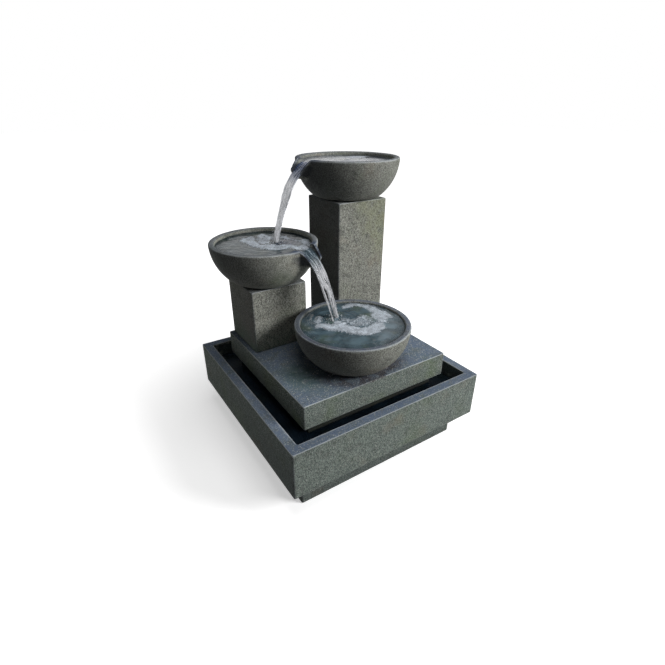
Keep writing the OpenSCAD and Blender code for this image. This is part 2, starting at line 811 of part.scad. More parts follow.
module lower_fall() color(water, 0.6) {
    drop = middle_rim_z + tip_water_z - bottom_rim_z + bottom_freeboard - water_gap;
    translate([short_x, pedestal_y, middle_rim_z]) rotate([0, 0, middle_aim]) {
        strand(lower_fall_out, drop, main_width_shares, main_shift_shares);
        strand(lower_fall_out, drop, side_width_shares, side_shift_shares);
    }
}

basin();
riser();
deck();
short_pedestal();
tall_pedestal();
bottom_bowl();
middle_bowl();
top_bowl();
bottom_bowl_pads();
middle_bowl_pads();
top_bowl_pads();
inlet_fitting();
inlet_gasket();
inlet_nut();
delivery_hose();
hose_clamps();
pump_body();
pump_cover();
cover_seal();
intake_cover();
flow_dial();
impeller();
impeller_shaft();
shaft_bushes();
suction_feet();
cable_gland();
cable_grommet();
drain_plug();
basin_water();
top_pool();
middle_pool();
bottom_pool();
upper_fall();
lower_fall();
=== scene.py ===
import json
import math
import random

import bmesh
import bpy
import numpy as np
from bpy.props import FloatProperty, FloatVectorProperty, PointerProperty
from bpy.types import Operator, Panel, PropertyGroup
from mathutils import Matrix, Vector, noise

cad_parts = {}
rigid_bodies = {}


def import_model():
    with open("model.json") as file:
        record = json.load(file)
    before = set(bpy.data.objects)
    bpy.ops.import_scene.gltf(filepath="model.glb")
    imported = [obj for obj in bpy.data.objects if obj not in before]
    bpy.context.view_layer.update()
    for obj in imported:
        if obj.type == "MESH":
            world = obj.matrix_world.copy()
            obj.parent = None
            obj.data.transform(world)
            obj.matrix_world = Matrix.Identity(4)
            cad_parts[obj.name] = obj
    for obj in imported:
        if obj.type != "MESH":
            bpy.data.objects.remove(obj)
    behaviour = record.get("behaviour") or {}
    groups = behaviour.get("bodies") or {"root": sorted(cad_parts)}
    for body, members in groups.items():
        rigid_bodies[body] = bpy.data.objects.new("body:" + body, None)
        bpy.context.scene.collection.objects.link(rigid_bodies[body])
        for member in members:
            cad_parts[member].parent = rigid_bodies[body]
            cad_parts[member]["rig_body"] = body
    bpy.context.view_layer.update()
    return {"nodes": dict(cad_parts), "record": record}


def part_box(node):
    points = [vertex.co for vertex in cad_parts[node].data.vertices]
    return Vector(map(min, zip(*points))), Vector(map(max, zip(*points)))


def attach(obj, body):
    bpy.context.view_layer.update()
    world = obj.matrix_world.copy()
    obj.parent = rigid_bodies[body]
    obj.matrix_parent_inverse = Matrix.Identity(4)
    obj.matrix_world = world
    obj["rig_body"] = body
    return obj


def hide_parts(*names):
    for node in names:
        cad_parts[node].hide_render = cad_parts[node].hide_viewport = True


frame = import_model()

bl_info = {
    "name": "Cascading Fountain",
    "version": (1, 0, 0),
    "blender": (4, 5, 0),
    "location": "View3D > Sidebar > Fountain",
    "description": "Dresses a cast stone fountain with three bowls and its running water",
    "category": "Add Mesh",
}


def span(node):
    low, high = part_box(node)
    return high - low


def centre(node):
    low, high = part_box(node)
    return (low + high) / 2


def length(name, words, value):
    return FloatProperty(name=name, description=words, default=value, unit="LENGTH", precision=4)


def amount(name, words, value):
    return FloatProperty(name=name, description=words, default=value, min=0)


def colour(name, words, value):
    return FloatVectorProperty(name=name, description=words, default=value, subtype="COLOR", min=0, max=1)


class CastingSizes(PropertyGroup):
    """Sizes of the stone castings"""
    edge: length("Edge", "Rounding of every worn edge", 0.0024)
    corner: length("Corner", "Rounding of the upright corners", 0.005)
    cell: length("Cell", "Width of the mesh cells on the flat faces", 0.016)
    uneven: length("Unevenness", "How far the cast faces wander", 0.0007)
    basin_wall: length("Basin wall", "Thickness of the basin's wall", 0.030)
    basin_floor: length("Basin floor", "Thickness of the basin's floor", 0.024)
    foot_height: length("Foot height", "Height of the recessed foot", 0.086)
    foot_inset: length("Foot inset", "How far the foot stands back", 0.046)
    deck_wall: length("Deck wall", "Width of the deck's underside ring", 0.047)
    deck_plate: length("Deck plate", "Thickness of the deck's top plate", 0.022)
    hose_hole: length("Hose hole", "Radius of the hole in the deck for the hose", 0.025)
    pedestal_wall: length("Pedestal wall", "Thickness of a pedestal's wall and top", 0.018)
    fitting_hole: length("Fitting hole", "Radius of the hole in the tall pedestal's top", 0.030)
    bowl_wall: length("Bowl wall", "Thickness of a bowl's wall and rim", 0.018)
    bowl_height: length("Bowl height", "Height of every bowl", span("bottom_bowl").z)
    bowl_arc: length("Bowl arc", "Radius of the arc of a bowl's outer side", 0.1475)
    base_round: length("Base round", "Radius between a bowl's side and its base", 0.040)
    rim_round: length("Rim round", "Radius of a rim's edges", 0.005)
    bowl_radius: length("Bowl radius", "Outer radius of the two bowls with spouts", 0.164)
    bottom_radius: length("Bottom bowl radius", "Outer radius of the bottom bowl", span("bottom_bowl").x / 2)
    tip: length("Tip", "Distance from a bowl's centre to its spout's tip", 0.1862)
    stem_hole: length("Stem hole", "Radius of the hole for the inlet fitting", 0.0104)
    voxel: length("Voxel", "Cell of the mesh that blends a spout into its bowl", 0.0022)


class WaterSizes(PropertyGroup):
    """Sizes of the still and the falling water"""
    gap: length("Gap", "Gap between the water and the stone", 0.0004)
    freeboard: length("Freeboard", "Rim above the water in the bowls with spouts", 0.012)
    bottom_freeboard: length("Bottom freeboard", "Rim above the water in the bottom bowl", 0.006)
    ripple: length("Ripple", "Height of the ripples round a landing", 0.0011)
    wave: length("Wave", "Length of the ripples", 0.016)
    chop: length("Chop", "Height of the water's small waves", 0.0007)
    froth: length("Froth", "How far froth stands up", 0.0016)
    cell: length("Cell", "Width of the water's mesh cells", 0.0022)
    moat_cell: length("Moat cell", "Width of the mesh cells in the moat", 0.009)
    upper_reach: length("Upper reach", "How far past its spout the upper fall lands", 0.076)
    lower_reach: length("Lower reach", "How far past its spout the lower fall lands", 0.062)
    film: length("Film", "Thickness of the water in a spout", 0.0062)
    drop: length("Drop", "Radius of the largest drops", 0.0016)


class Finishes(PropertyGroup):
    """Colours of the finishes"""
    stone: colour("Stone", "Cast stone on a lit face", (0.219, 0.222, 0.194))
    bowl: colour("Bowl stone", "Smoother stone of the bowls", (0.148, 0.151, 0.134))
    # Also the colour of the painted shade in corners and creases
    dark: colour("Dark stone", "Pits and stains of the stone", (0.045, 0.047, 0.043))
    moss: colour("Moss", "Green tint of the damp stone", (0.105, 0.140, 0.070))
    algae: colour("Algae", "Green film where the stone stays wet", (0.035, 0.075, 0.050))
    lichen: colour("Lichen", "Yellow-green growth on a lit face", (0.225, 0.245, 0.115))
    spill: colour("Spill", "Brown wet stone where the bowl spills", (0.040, 0.034, 0.033))
    rust: colour("Rust", "Brown tint of the stone", (0.210, 0.165, 0.120))
    fleck: colour("Fleck", "Light grains", (0.400, 0.415, 0.385))
    wear: colour("Wear", "Worn edges", (0.360, 0.385, 0.400))
    casting: colour("Basin stone", "Stone of the basin and the deck", (0.150, 0.178, 0.160))
    # Painted sky reflection: the bluish tint given to faces that look up
    painted_sky_blue: colour("Slate", "Bluish bloom on faces that look up", (0.094, 0.130, 0.216))
    water: colour("Water", "Depth of the water", (0.043, 0.067, 0.082))
    # Painted dark reflection: the darkest spots on the pools
    navy: colour("Navy water", "Darkest parts of the pools", (0.010, 0.018, 0.040))
    # Partly painted reflection: the top pool is milky with fine bubbles and also made light for the pale surroundings
    # it reflects
    milky_and_painted_sheen: colour("Milky water", "Water full of fine bubbles over the inlet", (0.190, 0.206, 0.236))
    moat: colour("Moat", "Dark water of the basin", (0.003, 0.006, 0.010))
    froth: colour("Froth", "Froth on the pools", (0.315, 0.350, 0.392))
    spray: colour("Spray", "White of the falling water", (0.690, 0.700, 0.725))
    rubber: colour("Rubber", "Pads, grommet, plug and seals", (0.022, 0.023, 0.024))
    plastic: colour("Plastic", "Pump and inlet fitting", (0.030, 0.034, 0.038))
    hose: colour("Hose", "Delivery hose", (0.045, 0.055, 0.050))
    dial: colour("Dial", "Flow dial", (0.420, 0.110, 0.030))
    rotor: colour("Rotor", "Impeller", (0.620, 0.600, 0.520))
    ceramic: colour("Ceramic", "Impeller shaft", (0.800, 0.780, 0.720))
    steel: colour("Steel", "Hose clamps", (0.620, 0.620, 0.600))


class StageSizes(PropertyGroup):
    """Camera, lamps and floor"""
    place: FloatVectorProperty(name="Camera place", description="Where the camera stands",
        default=(-0.6805, -1.0364, 0.9801), subtype="TRANSLATION")
    turn: FloatVectorProperty(name="Camera turn", description="Yaw, pitch and roll in degrees",
        default=(-33.35, 27.66, 0.16))
    lens: amount("Lens", "Focal length in millimetres", 23.54)
    key: amount("Key", "Power of the large lamp in watts", 158.0)
    fill: amount("Fill", "Power of the top lamp in watts", 46.0)
    sky: amount("Sky", "Strength of the pale surroundings", 0.048)
    floor: colour("Floor", "Colour of the floor", (0.80, 0.80, 0.80))


def settings(context):
    """Sizes of the castings, sizes of the water and colours."""
    scene = context.scene
    return scene.fountain_castings, scene.fountain_water, scene.fountain_finishes


# Edit mode helpers

def settle():
    """Leave edit mode and deselect everything."""
    if bpy.context.object and bpy.context.object.mode != "OBJECT":
        bpy.ops.object.mode_set(mode="OBJECT")
    bpy.ops.object.select_all(action="DESELECT")


def choose(piece):
    """Make a piece the active one and the only one selected."""
    settle()
    piece.select_set(True)
    bpy.context.view_layer.objects.active = piece


def named(name):
    """Name the primitive just added and put its place into its mesh."""
    piece = bpy.context.object
    piece.name = piece.data.name = name
    bpy.ops.object.transform_apply(location=True, rotation=True, scale=True)
    return piece


def edit(piece):
    choose(piece)
    bpy.ops.object.mode_set(mode="EDIT")


def take_all():
    bpy.ops.mesh.select_all(action="SELECT")


def face_out():
    """Turn all the faces of the mesh in edit mode outwards."""
    take_all()
    bpy.ops.mesh.normals_make_consistent(inside=False)


def pick(piece, kind, test):
    """Select the faces, edges or vertices whose middle and normal pass a test."""
    bpy.ops.mesh.select_mode(type=kind)
    bpy.ops.mesh.select_all(action="DESELECT")
    mesh = bmesh.from_edit_mesh(piece.data)
    ends = ((edge, *(vert.co for vert in edge.verts)) for edge in mesh.edges)
    parts = {
        "FACE": ((face, face.calc_center_median(), face.normal) for face in mesh.faces),
        "EDGE": ((edge, (a + b) / 2, (b - a).normalized()) for edge, a, b in ends),
        "VERT": ((vert, vert.co, vert.normal) for vert in mesh.verts),
    }
    for part, at, way in parts[kind]:
        part.select_set(bool(test(at, way)))
    bmesh.update_edit_mesh(piece.data)


def block(name, low, high):
    """A box from a primitive cube, left in edit mode."""
    settle()
    low, high = Vector(low), Vector(high)
    bpy.ops.mesh.primitive_cube_add(size=1, location=(low + high) / 2, scale=high - low)
    piece = named(name)
    edit(piece)
    return piece


def upward(at, way):
    return way.z > 0.9


def downward(at, way):
    return way.z < -0.9


def push(piece, test, inset, move):
    """Inset the faces that pass a test and extrude them straight up or down."""
    pick(piece, "FACE", test)
    bpy.ops.mesh.inset(thickness=inset)
    bpy.ops.mesh.extrude_region_move(TRANSFORM_OT_translate={"value": (0, 0, move)})


def cut_grid(steps):
    """Cut the mesh in edit mode along planes at the given places on each axis."""
    for axis, cuts in enumerate(steps):
        for cut in cuts:
            point, normal = [0, 0, 0], [0, 0, 0]
            point[axis], normal[axis] = cut, 1
            take_all()
            bpy.ops.mesh.bisect(plane_co=point, plane_no=normal)


def places(low, high, cell, skin):
    """Cut places between two faces, with one close to each face."""
    count = max(1, round((high - low - 2 * skin) / cell))
    return [low + skin + i * (high - low - 2 * skin) / count for i in range(count + 1)]


def applied(piece, kind, **values):
    """Add a modifier, set it and apply it."""
    choose(piece)
    bpy.ops.object.modifier_add(type=kind)
    modifier = piece.modifiers[-1]
    for key, value in values.items():
        setattr(modifier, key, value)
    bpy.ops.object.modifier_apply(modifier=modifier.name)


def cloud(size):
    """The noise that the cast faces wander by."""
    texture = bpy.data.textures.get("cast_faces") or bpy.data.textures.new("cast_faces", "CLOUDS")
    texture.noise_scale, texture.noise_depth = size, 3
    return texture


def carve(piece, cutter, operation="DIFFERENCE"):
    """Cut a piece with another one, or join the other to it, and remove the other."""
    applied(piece, "BOOLEAN", operation=operation, solver="EXACT", object=cutter)
    bpy.data.objects.remove(cutter)


def rod(name, point, radius, depth, upright=True):
    """A round cutter that starts at a point and runs up, or else back along +Y."""
    settle()
    way, turn = (Vector((0, 0, 1)), 0) if upright else (Vector((0, 1, 0)), math.radians(-90))
    bpy.ops.mesh.primitive_cylinder_add(vertices=64, radius=radius, depth=depth,
        location=Vector(point) + way * depth / 2, rotation=(turn, 0, 0))
    return named(name)


def points_of(piece):
    flat = np.empty(len(piece.data.vertices) * 3)
    piece.data.vertices.foreach_get("co", flat)
    return flat.reshape(-1, 3)


def put_points(piece, points):
    piece.data.vertices.foreach_set("co", np.asarray(points, np.float32).ravel())
    piece.data.update()


def normals_of(piece):
    flat = np.empty(len(piece.data.vertices) * 3, np.float32)
    piece.data.vertex_normals.foreach_get("vector", flat)
    return flat.reshape(-1, 3).astype(float)


def ramp(value, start, end):
    """0 before the start, 1 past the end and straight between them."""
    return np.clip((value - start) / (end - start), 0, 1)


def mark(piece, name, values):
    """Store one number for each vertex for the material."""
    found = piece.data.attributes.get(name) or piece.data.attributes.new(name, "FLOAT", "POINT")
    found.data.foreach_set("value", np.asarray(values, np.float32))


# Radius in metres at which an edge counts as fully sharp
SHARP = 0.005


def mark_edges(piece):
    """Store how sharply the mesh turns: above zero on edges, below in corners."""
    points, normals = points_of(piece), normals_of(piece)
    pairs = np.empty(len(piece.data.edges) * 2, np.int32)
    piece.data.edges.foreach_get("vertices", pairs)
    a, b = pairs.reshape(-1, 2).T
    gap = points[b] - points[a]
    size = np.maximum((gap ** 2).sum(axis=1), 1e-8)
    count, turn = np.zeros(len(points)), np.zeros(len(points))
    for one, sign in ((a, 1), (b, -1)):
        np.add.at(turn, one, -2 * sign * np.einsum("ij,ij->i", gap, normals[one]) / size)
        np.add.at(count, one, 1)
    mark(piece, "edge", np.clip(turn / np.maximum(count, 1) * SHARP, -1, 1))


def weathered(piece, castings, angle=35, scale=0.06):
    """Let the cast faces wander inwards, mark their edges and shade them smooth."""
    applied(piece, "DISPLACE", texture=cloud(scale), texture_coords="GLOBAL",
        strength=castings.uneven, mid_level=1.0)
    mark_edges(piece)
    edit(piece)
    face_out()
    choose(piece)
    bpy.ops.object.shade_smooth_by_angle(angle=math.radians(angle))


def rounded(piece, castings, low, high):
    """Round the upright corners and every sharp edge, then cut the faces into cells."""
    pick(piece, "EDGE", lambda at, way: abs(way.z) > 0.99)
    bpy.ops.mesh.bevel(offset=castings.corner, segments=3, affect="EDGES")
    bpy.ops.mesh.select_mode(type="EDGE")
    bpy.ops.mesh.select_all(action="DESELECT")
    bpy.ops.mesh.edges_select_sharp(sharpness=math.radians(50))
    bpy.ops.mesh.bevel(offset=castings.edge, segments=3, affect="EDGES")
    skin = 2.2 * castings.edge + 0.001
    cut_grid([places(a, b, castings.cell, skin) for a, b in zip(low, high)])


def cast(node, castings, *pushes, base=None):
    """A square casting with worn edges, as large as its CAD part, pushed in from above or below."""
    low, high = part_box(node)
    piece = block(node + "_casting", (low.x, low.y, low.z if base is None else base), high)
    for test, inset, move in pushes:
        push(piece, test, inset, move)
    rounded(piece, castings, low, high)
    weathered(piece, castings)
    return piece


def dress(piece, finish):
    piece.data.materials.clear()
    piece.data.materials.append(finish)


def finished(piece, node, slot, finish, stands_in=True):
    """Hand a piece over: its finish, smooth shading unless its slot is stone, its body, and the CAD part that it stands
    for hidden.
    """
    settle()
    dress(piece, finish)
    if slot != "cast_stone":
        piece.data.shade_smooth()
    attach(piece, frame["nodes"][node]["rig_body"])
    if stands_in:
        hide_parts(node)


# Shader helpers

def scaled(shade, gain, lift=0.0):
    """A colour made darker or lighter, by one gain or by one for each channel."""
    return tuple(np.minimum(np.array(shade) * gain + lift, 1))


class Value:
    """A shader socket, with maths written as Python expressions."""

    def __init__(self, nodes, socket):
        self.nodes, self.socket = nodes, socket

    def maths(self, operation, *others):
        return self.nodes.node("Math", {"operation": operation}, dict(enumerate((self, *others))))

    def __add__(self, other):
        return self.maths("ADD", other)

    def __sub__(self, other):
        return self.maths("SUBTRACT", other)

    def __mul__(self, other):
        return self.maths("MULTIPLY", other)

    def __rsub__(self, other):
        return self.nodes.node("Math", {"operation": "SUBTRACT"}, {0: other, 1: self})

    __radd__, __rmul__ = __add__, __mul__

    def most(self, other):
        return self.maths("MAXIMUM", other)

    def least(self, other):
        return self.maths("MINIMUM", other)

    def between(self, low, high):
        """0 below low, 1 above high and smooth between them."""
        return self.nodes.node("MapRange", {"interpolation_type": "SMOOTHSTEP"},
            {"Value": self, "From Min": low, "From Max": high})


class Nodes:
    """A node tree under construction."""

    def __init__(self, tree):
        self.tree = tree

    def put(self, socket, value):
        """Link a shader value to a socket, or set the socket to a constant."""
        if isinstance(value, Value):
            self.tree.links.new(value.socket, socket)
        else:
            socket.default_value = (*value, 1) if socket.type == "RGBA" else value

    def node(self, kind, choices=None, sockets=None, out=0):
        """Add a node, set it and fill its sockets, and return one of its outputs."""
        made = self.tree.nodes.new("ShaderNode" + kind)
        for key, value in (choices or {}).items():
            setattr(made, key, value)
        for key, value in (sockets or {}).items():
            self.put(made.inputs[key], value)
        return Value(self, made.outputs[out])

    def seen(self):
        """1 for what is seen straight, in a mirror or through water, and 0 for what only lights."""
        camera, glossy, clear = (self.node("LightPath", out="Is %s Ray" % kind)
            for kind in ("Camera", "Glossy", "Transmission"))
        return camera.most(glossy).most(clear)


class Finish(Nodes):
    """A node material under construction."""

    def __init__(self, name, **constants):
        self.material = bpy.data.materials.new(name)
        self.material.use_nodes = True
        super().__init__(self.material.node_tree)
        self.shader = self.tree.nodes["Principled BSDF"]
        self.done(**constants)

    def done(self, **values):
        """Fill the shader's sockets and return the material."""
        for key, value in values.items():
            self.put(self.shader.inputs[key.replace("_", " ")], value)
        return self.material

    def place(self, scale=(1, 1, 1), here=None):
        """Object coordinates, or others, stretched."""
        here = here or self.node("TexCoord", out="Object")
        return self.node("VectorMath", {"operation": "MULTIPLY"}, {0: here, 1: scale})

    def noise(self, place, scale, detail, rough):
        return self.node("TexNoise", {}, {"Vector": place, "Scale": scale, "Detail": detail, "Roughness": rough})

    def cells(self, place, scale, out=0):
        return self.node("TexVoronoi", {}, {"Vector": place, "Scale": scale}, out)

    def mark(self, name, out="Fac"):
        return self.node("Attribute", {"attribute_name": name}, out=out)

    def mix(self, factor, a, b, blend="MIX"):
        """Blend two colours."""
        return self.node("Mix", {"data_type": "RGBA", "blend_type": blend}, {0: factor, 6: a, 7: b}, 2)

    def bump(self, height, strength, distance):
        return self.node("Bump", {}, {"Height": height, "Strength": strength, "Distance": distance})


# How much of each channel is left of damp stone, and of stone darkened by painted shade and by wet rims
DAMP, SHADE_AND_WET = (0.30, 0.34, 0.40), (0.19, 0.205, 0.245)

# The stone's fine and coarse grains, mottling and moss: waves per metre, detail and roughness
GRAINS = ((560, 3, 0.75), (380, 2, 0.6), (34, 4, 0.6), (8, 3, 0.55))

# Waves per metre of its streaks along each axis and of its rust, and cells per metre of its flecks and pits
STREAKS, RUST, FLECKS, PITS = (460, 460, 170), 11, 480, 420


def stone_finish(name, tones, base, bloom, moss, grain=1.0, streak=1.0, tint=1.0):
    """Cast stone: fine grains, pits and upright rubbed streaks under moss, wear and damp, with a painted sky sheen on
    faces that look up, painted shade in corners and on shaded sides, and painted glints on wet spills.
    """
    finish = Finish(name, Specular_IOR_Level=0.16, Coat_Roughness=0.16, Coat_IOR=1.33)
    here = finish.place()
    fine, coarse, mottle, patch = (finish.noise(here, *row) for row in GRAINS)
    rubbed = finish.noise(finish.place(STREAKS), 1, 2, 0.6)
    rust = finish.noise(finish.place((1, 1, -1)), RUST, 3, 0.55)
    flecks = finish.cells(here, FLECKS, "Color")
    fleck = finish.node("SeparateColor", {}, {0: flecks}).between(0.84, 0.99)
    pit = 1 - finish.cells(here, PITS).between(0.10, 0.40)
    up = finish.node("SeparateXYZ", {}, {0: finish.node("TexCoord", out="Normal")}, 2)
    edge = finish.mark("edge")
    worn = (edge * (coarse + mottle * 0.8)).between(0.22, 0.85)
    damp = (finish.mark("damp") * 1.3 + (mottle - 0.5) * 0.9).between(0.25, 0.85)
    spill = finish.mark("spill") * mottle.between(0.40, 0.55)
    speckle = (fine * 0.34 + coarse * (0.66 - 0.36 * streak) + rubbed * 0.36 * streak).between(0.42, 0.59)
    # From the bottom layer to the top one: how much of it, its colour and how it is laid on
    layers = (
        (patch.between(0.48, 0.74) * moss, tones.moss),
        (rust.between(0.54, 0.78) * 0.35 * tint, tones.rust),
        (mottle.between(0.50, 0.28) * 0.40, tones.dark),
        # Painted sky reflection: faces that look up turn bluish
        (up.between(0.5, 0.95) * bloom * (mottle.between(0.20, 0.60) * 0.5 + speckle * 0.5), tones.painted_sky_blue),
        (fleck * 0.68 * grain * tint, tones.fleck),
        (pit * 0.50 * grain, tones.dark),
        # Wet spout lips take a dark tint of the painted sky blue where they look up: wet stone with a painted sky
        # reflection
        (finish.mark("lip"), scaled(tones.painted_sky_blue, 0.42)),
        # Lighter edge wear; on a bowl's rim the edge mark also holds a painted highlight line
        (worn * 0.75 * tint, tones.wear),
        # Painted shade: corners and creases, where the mesh turns inward, are darkened
        ((edge * -1).between(0.05, 0.5) * 0.7, tones.dark),
        (damp * 0.85, DAMP, "MULTIPLY"),
        # Painted shade on shaded sides, recessed feet and under spout lips, and darker wet rims
        (finish.mark("stain"), SHADE_AND_WET, "MULTIPLY"),
        (finish.mark("algae") * mottle.between(0.30, 0.60) * 0.6, tones.algae),
        (finish.mark("lichen") * mottle.between(0.25, 0.60) * (0.18 + speckle * 0.22), tones.lichen),
        (spill * (1 - speckle * 0.5), tones.spill),
        # Painted glints: light flecks on the wet spill
        (spill * coarse.between(0.60, 0.66) * 0.7, tones.fleck),
    )
    tone = finish.mix(speckle, scaled(base, 1 - 0.66 * grain), scaled(base, 1 + 0.52 * grain))
    for factor, shade, *blend in layers:
        tone = finish.mix(factor, tone, shade, *blend)
    relief = fine * 0.35 + coarse * 0.4 + rubbed * 0.5 * streak - pit * 0.8 + mottle * 0.4
    return finish.done(Base_Color=tone, Roughness=0.74 + speckle * 0.16 - damp * 0.16,
        Coat_Weight=damp * 0.5, Normal=finish.bump(relief, 0.75, 0.0010 * grain))


def stone(piece, node, tones, base, **look):
    """Hand a casting over in cast stone."""
    finished(piece, node, "cast_stone", stone_finish(node.replace("_", " ") + " stone", tones, base, **look))


# Gain of each channel where the water turns green
WEEDY = np.array((1.0, 0.7, -0.1))

# Torn and clumped froth, fizz, murk, green, waves and wavelets: waves per metre, detail and roughness
STIRRED = ((150, 5, 0.75), (60, 3, 0.65), (520, 2, 0.7), (22, 3, 0.5), (13, 2, 0.5), (95, 2, 0.5), (260, 2, 0.5))


def water_finish(name, tones, depth, shine=0.6, calm=0.05, murky=1.0):
    """Still water, clearer at its edge, with lacy froth where the mesh is marked."""
    finish = Finish(name, IOR=1.33, Specular_IOR_Level=shine)
    here = finish.place()
    froth = finish.mark("froth")
    torn, clump, fizz, murk, green, wave, wavelet = (finish.noise(here, *row) for row in STIRRED)
    bubbles = finish.cells(here, 330)
    cover = froth * 1.25 + (torn - 0.5) * 2.2 + (0.42 - bubbles) * 0.7 + (fizz - 0.5) * 0.5
    cover = (cover * froth.between(0.03, 0.35)).between(0.22, 0.95)
    deep = finish.mix(murk.between(0.35, 0.7), depth, scaled(depth, 1 + 1.1 * murky))
    deep = finish.mix(green.between(0.52, 0.72) * 0.6, deep, scaled(depth, 1 + WEEDY * murky))
    # Painted dark reflection: a dark spot laid on each pool where it is marked
    deep = finish.mix(finish.mark("navy"), deep, tones.navy)
    clumps = (torn * 0.5 + clump * 0.5 + froth * 0.12 + (fizz - 0.5) * 0.9).between(0.38, 0.84)
    foam = finish.mix(clumps, scaled(tones.froth, 0.34), scaled(tones.froth, 1.75))
    height = (wave * 0.7 + wavelet * 0.3) * 0.6 + cover * 0.9 - bubbles * cover * 0.5
    return finish.done(Base_Color=finish.mix(cover, deep, foam), Roughness=calm + cover * 0.5,
        Alpha=(cover * 0.25 + 0.92 - finish.mark("clear") * 0.45).least(1.0),
        Normal=finish.bump(height, 0.6, 0.0012))


# Dark gaps in the white water, and the stretch of its broad and thin threads across and down
GAPS = (0.07, 0.08, 0.095)
BROAD, THIN = (300, 16, 1), (500, 38, 1)


def fall_finish(name, tones, fall):
    """Falling water: white threads and dark gaps along the way down, its white part glowing as painted light."""
    finish = Finish(name, IOR=1.33, Specular_IOR_Level=0.6, Emission_Strength=0.42)
    flow = finish.mark("flow", "Vector")
    broad = finish.noise(finish.place(BROAD, flow), 1, 2, 0.55)
    thin = finish.noise(finish.place(THIN, flow), 1, 3, 0.7)
    beads = finish.noise(finish.place(), 420, 3, 0.7)
    white = finish.mark("white")
    thread = (broad * 0.48 + thin * 0.40 + beads * 0.24 + white * 0.08).between(0.545, 0.69)
    # Painted light: each fall's spray and dark gaps are scaled by its own gain for how much light falls on it
    shade = finish.mix(white, fall["shade"], scaled(GAPS, fall["light"]))
    tone = finish.mix(thread, shade, finish.mix(white, fall["shine"], scaled(tones.spray, fall["light"])))
    begin = (finish.mark("begin") * 1.3 + (beads + thin - 1.0) * 0.6).between(0.15, 1.0)
    return finish.done(Base_Color=tone, Roughness=0.10 + thread * 0.25,
        Alpha=(thread * 0.42 + fall["body"] + (1 - white) * 0.30).least(1.0) * begin,
        # Painted light: the white water glows with its own tone
        Emission_Color=finish.mix(white, (0, 0, 0), tone),
        Normal=finish.bump(thin * 0.6 + broad * 0.4 + beads * 0.4, 0.8, 0.0010))


def drop_finish(tones):
    """Clear beads with a pale shine."""
    found = bpy.data.materials.get("water drops")
    if found:
        return found
    finish = Finish("water drops", IOR=1.33, Roughness=0.06, Specular_IOR_Level=0.8)
    cloudy = finish.noise(finish.place(), 700, 2, 0.5)
    return finish.done(Base_Color=finish.mix(cloudy.between(0.3, 0.7), (0.22, 0.25, 0.29), tones.spray),
        Alpha=0.45 + cloudy * 0.5)


def moulded_finish(name, base, rough, grain=900.0, scuff=0.35, metal=0.0, **more):
    """Moulded plastic, rubber or steel with a fine skin, scuffs and silt."""
    finish = Finish(name, Metallic=metal, **more)
    here = finish.place()
    skin = finish.noise(here, grain, 2, 0.6)
    silt = finish.noise(here, 46, 4, 0.6)
    scuffs = finish.noise(finish.place((90, 420, 160)), 1, 3, 0.7).between(0.60, 0.72)
    tone = finish.mix(silt.between(0.35, 0.75) * 0.5, base, scaled(base, 0.62, 0.010))
    tone = finish.mix(scuffs * scuff, tone, scaled(base, 1.5, 0.05))
    return finish.done(Base_Color=tone, Roughness=rough + silt * 0.14 + scuffs * 0.08,
        Normal=finish.bump(skin + silt * 0.5, 0.35, 0.0002))


# Stone castings

# Holes through the basin's back wall: radius, and radius and depth of the recess outside
BORES = {"cable_grommet": (0.011, 0.0155, 0.003), "drain_plug": (0.015, 0.022, 0.009)}

# How far in metres a cutter runs past what it cuts
OVER = 0.004


class FOUNTAIN_OT_basin(Operator):
    """Model the square basin on its recessed foot"""
    bl_idname = "fountain.basin"
    bl_label = "Basin"

    def execute(self, context):
        castings, _, tones = settings(context)
        low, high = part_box("basin")
        foot, wall = castings.foot_height, castings.basin_wall
        piece = cast("basin", castings, (upward, wall, foot + castings.basin_floor - high.z),
            (downward, castings.foot_inset, -foot),
            (lambda at, way: downward(at, way) and at.z < low.z + 0.001 and abs(at.x) < 0.01, wall, foot), base=foot)
        for node, (inner, outer, recess) in BORES.items():
            at = centre(node)
            carve(piece, rod("bore", (at.x, high.y - wall - OVER, at.z), inner, wall + 2 * OVER, False))
            carve(piece, rod("recess", (at.x, high.y - recess, at.z), outer, recess + OVER, False))
        x, y, z = points_of(piece).T
        inside = (np.maximum(np.abs(x), np.abs(y)) < high.x - wall + 0.0004) & (z > foot)
        mark(piece, "damp", np.where(inside, ramp(high.z - z, 0, 0.012), 0.12))
        # Painted shade: faces that look left are darkened, more so towards the front and the bottom
        left = ramp(-normals_of(piece)[:, 0], 0, 1) * ramp(y, 0.15, -0.35)
        left *= ramp((z - foot) / (high.z - foot), 1.3, 0.3) * 0.75
        # A darker band along the front of the rim top
        front = (z > high.z - 0.004) * ramp(y, -0.27, -0.30) * 0.25
        # Painted shade on the recessed foot, joined with the marks above
        mark(piece, "stain", np.maximum((z < foot - 0.0005) * 0.40, np.maximum(left, front)))
        stone(piece, "basin", tones, tones.casting, grain=0.88, bloom=0.9, moss=0.35)
        return {"FINISHED"}


# Middle of the green patch on the deck and its half widths, and distance of the wet ring
# from the bottom bowl's centre, in metres
GREEN_PATCH, GREEN_SIZE, WET_RING = (-0.188, -0.130), (0.045, 0.080), 0.125


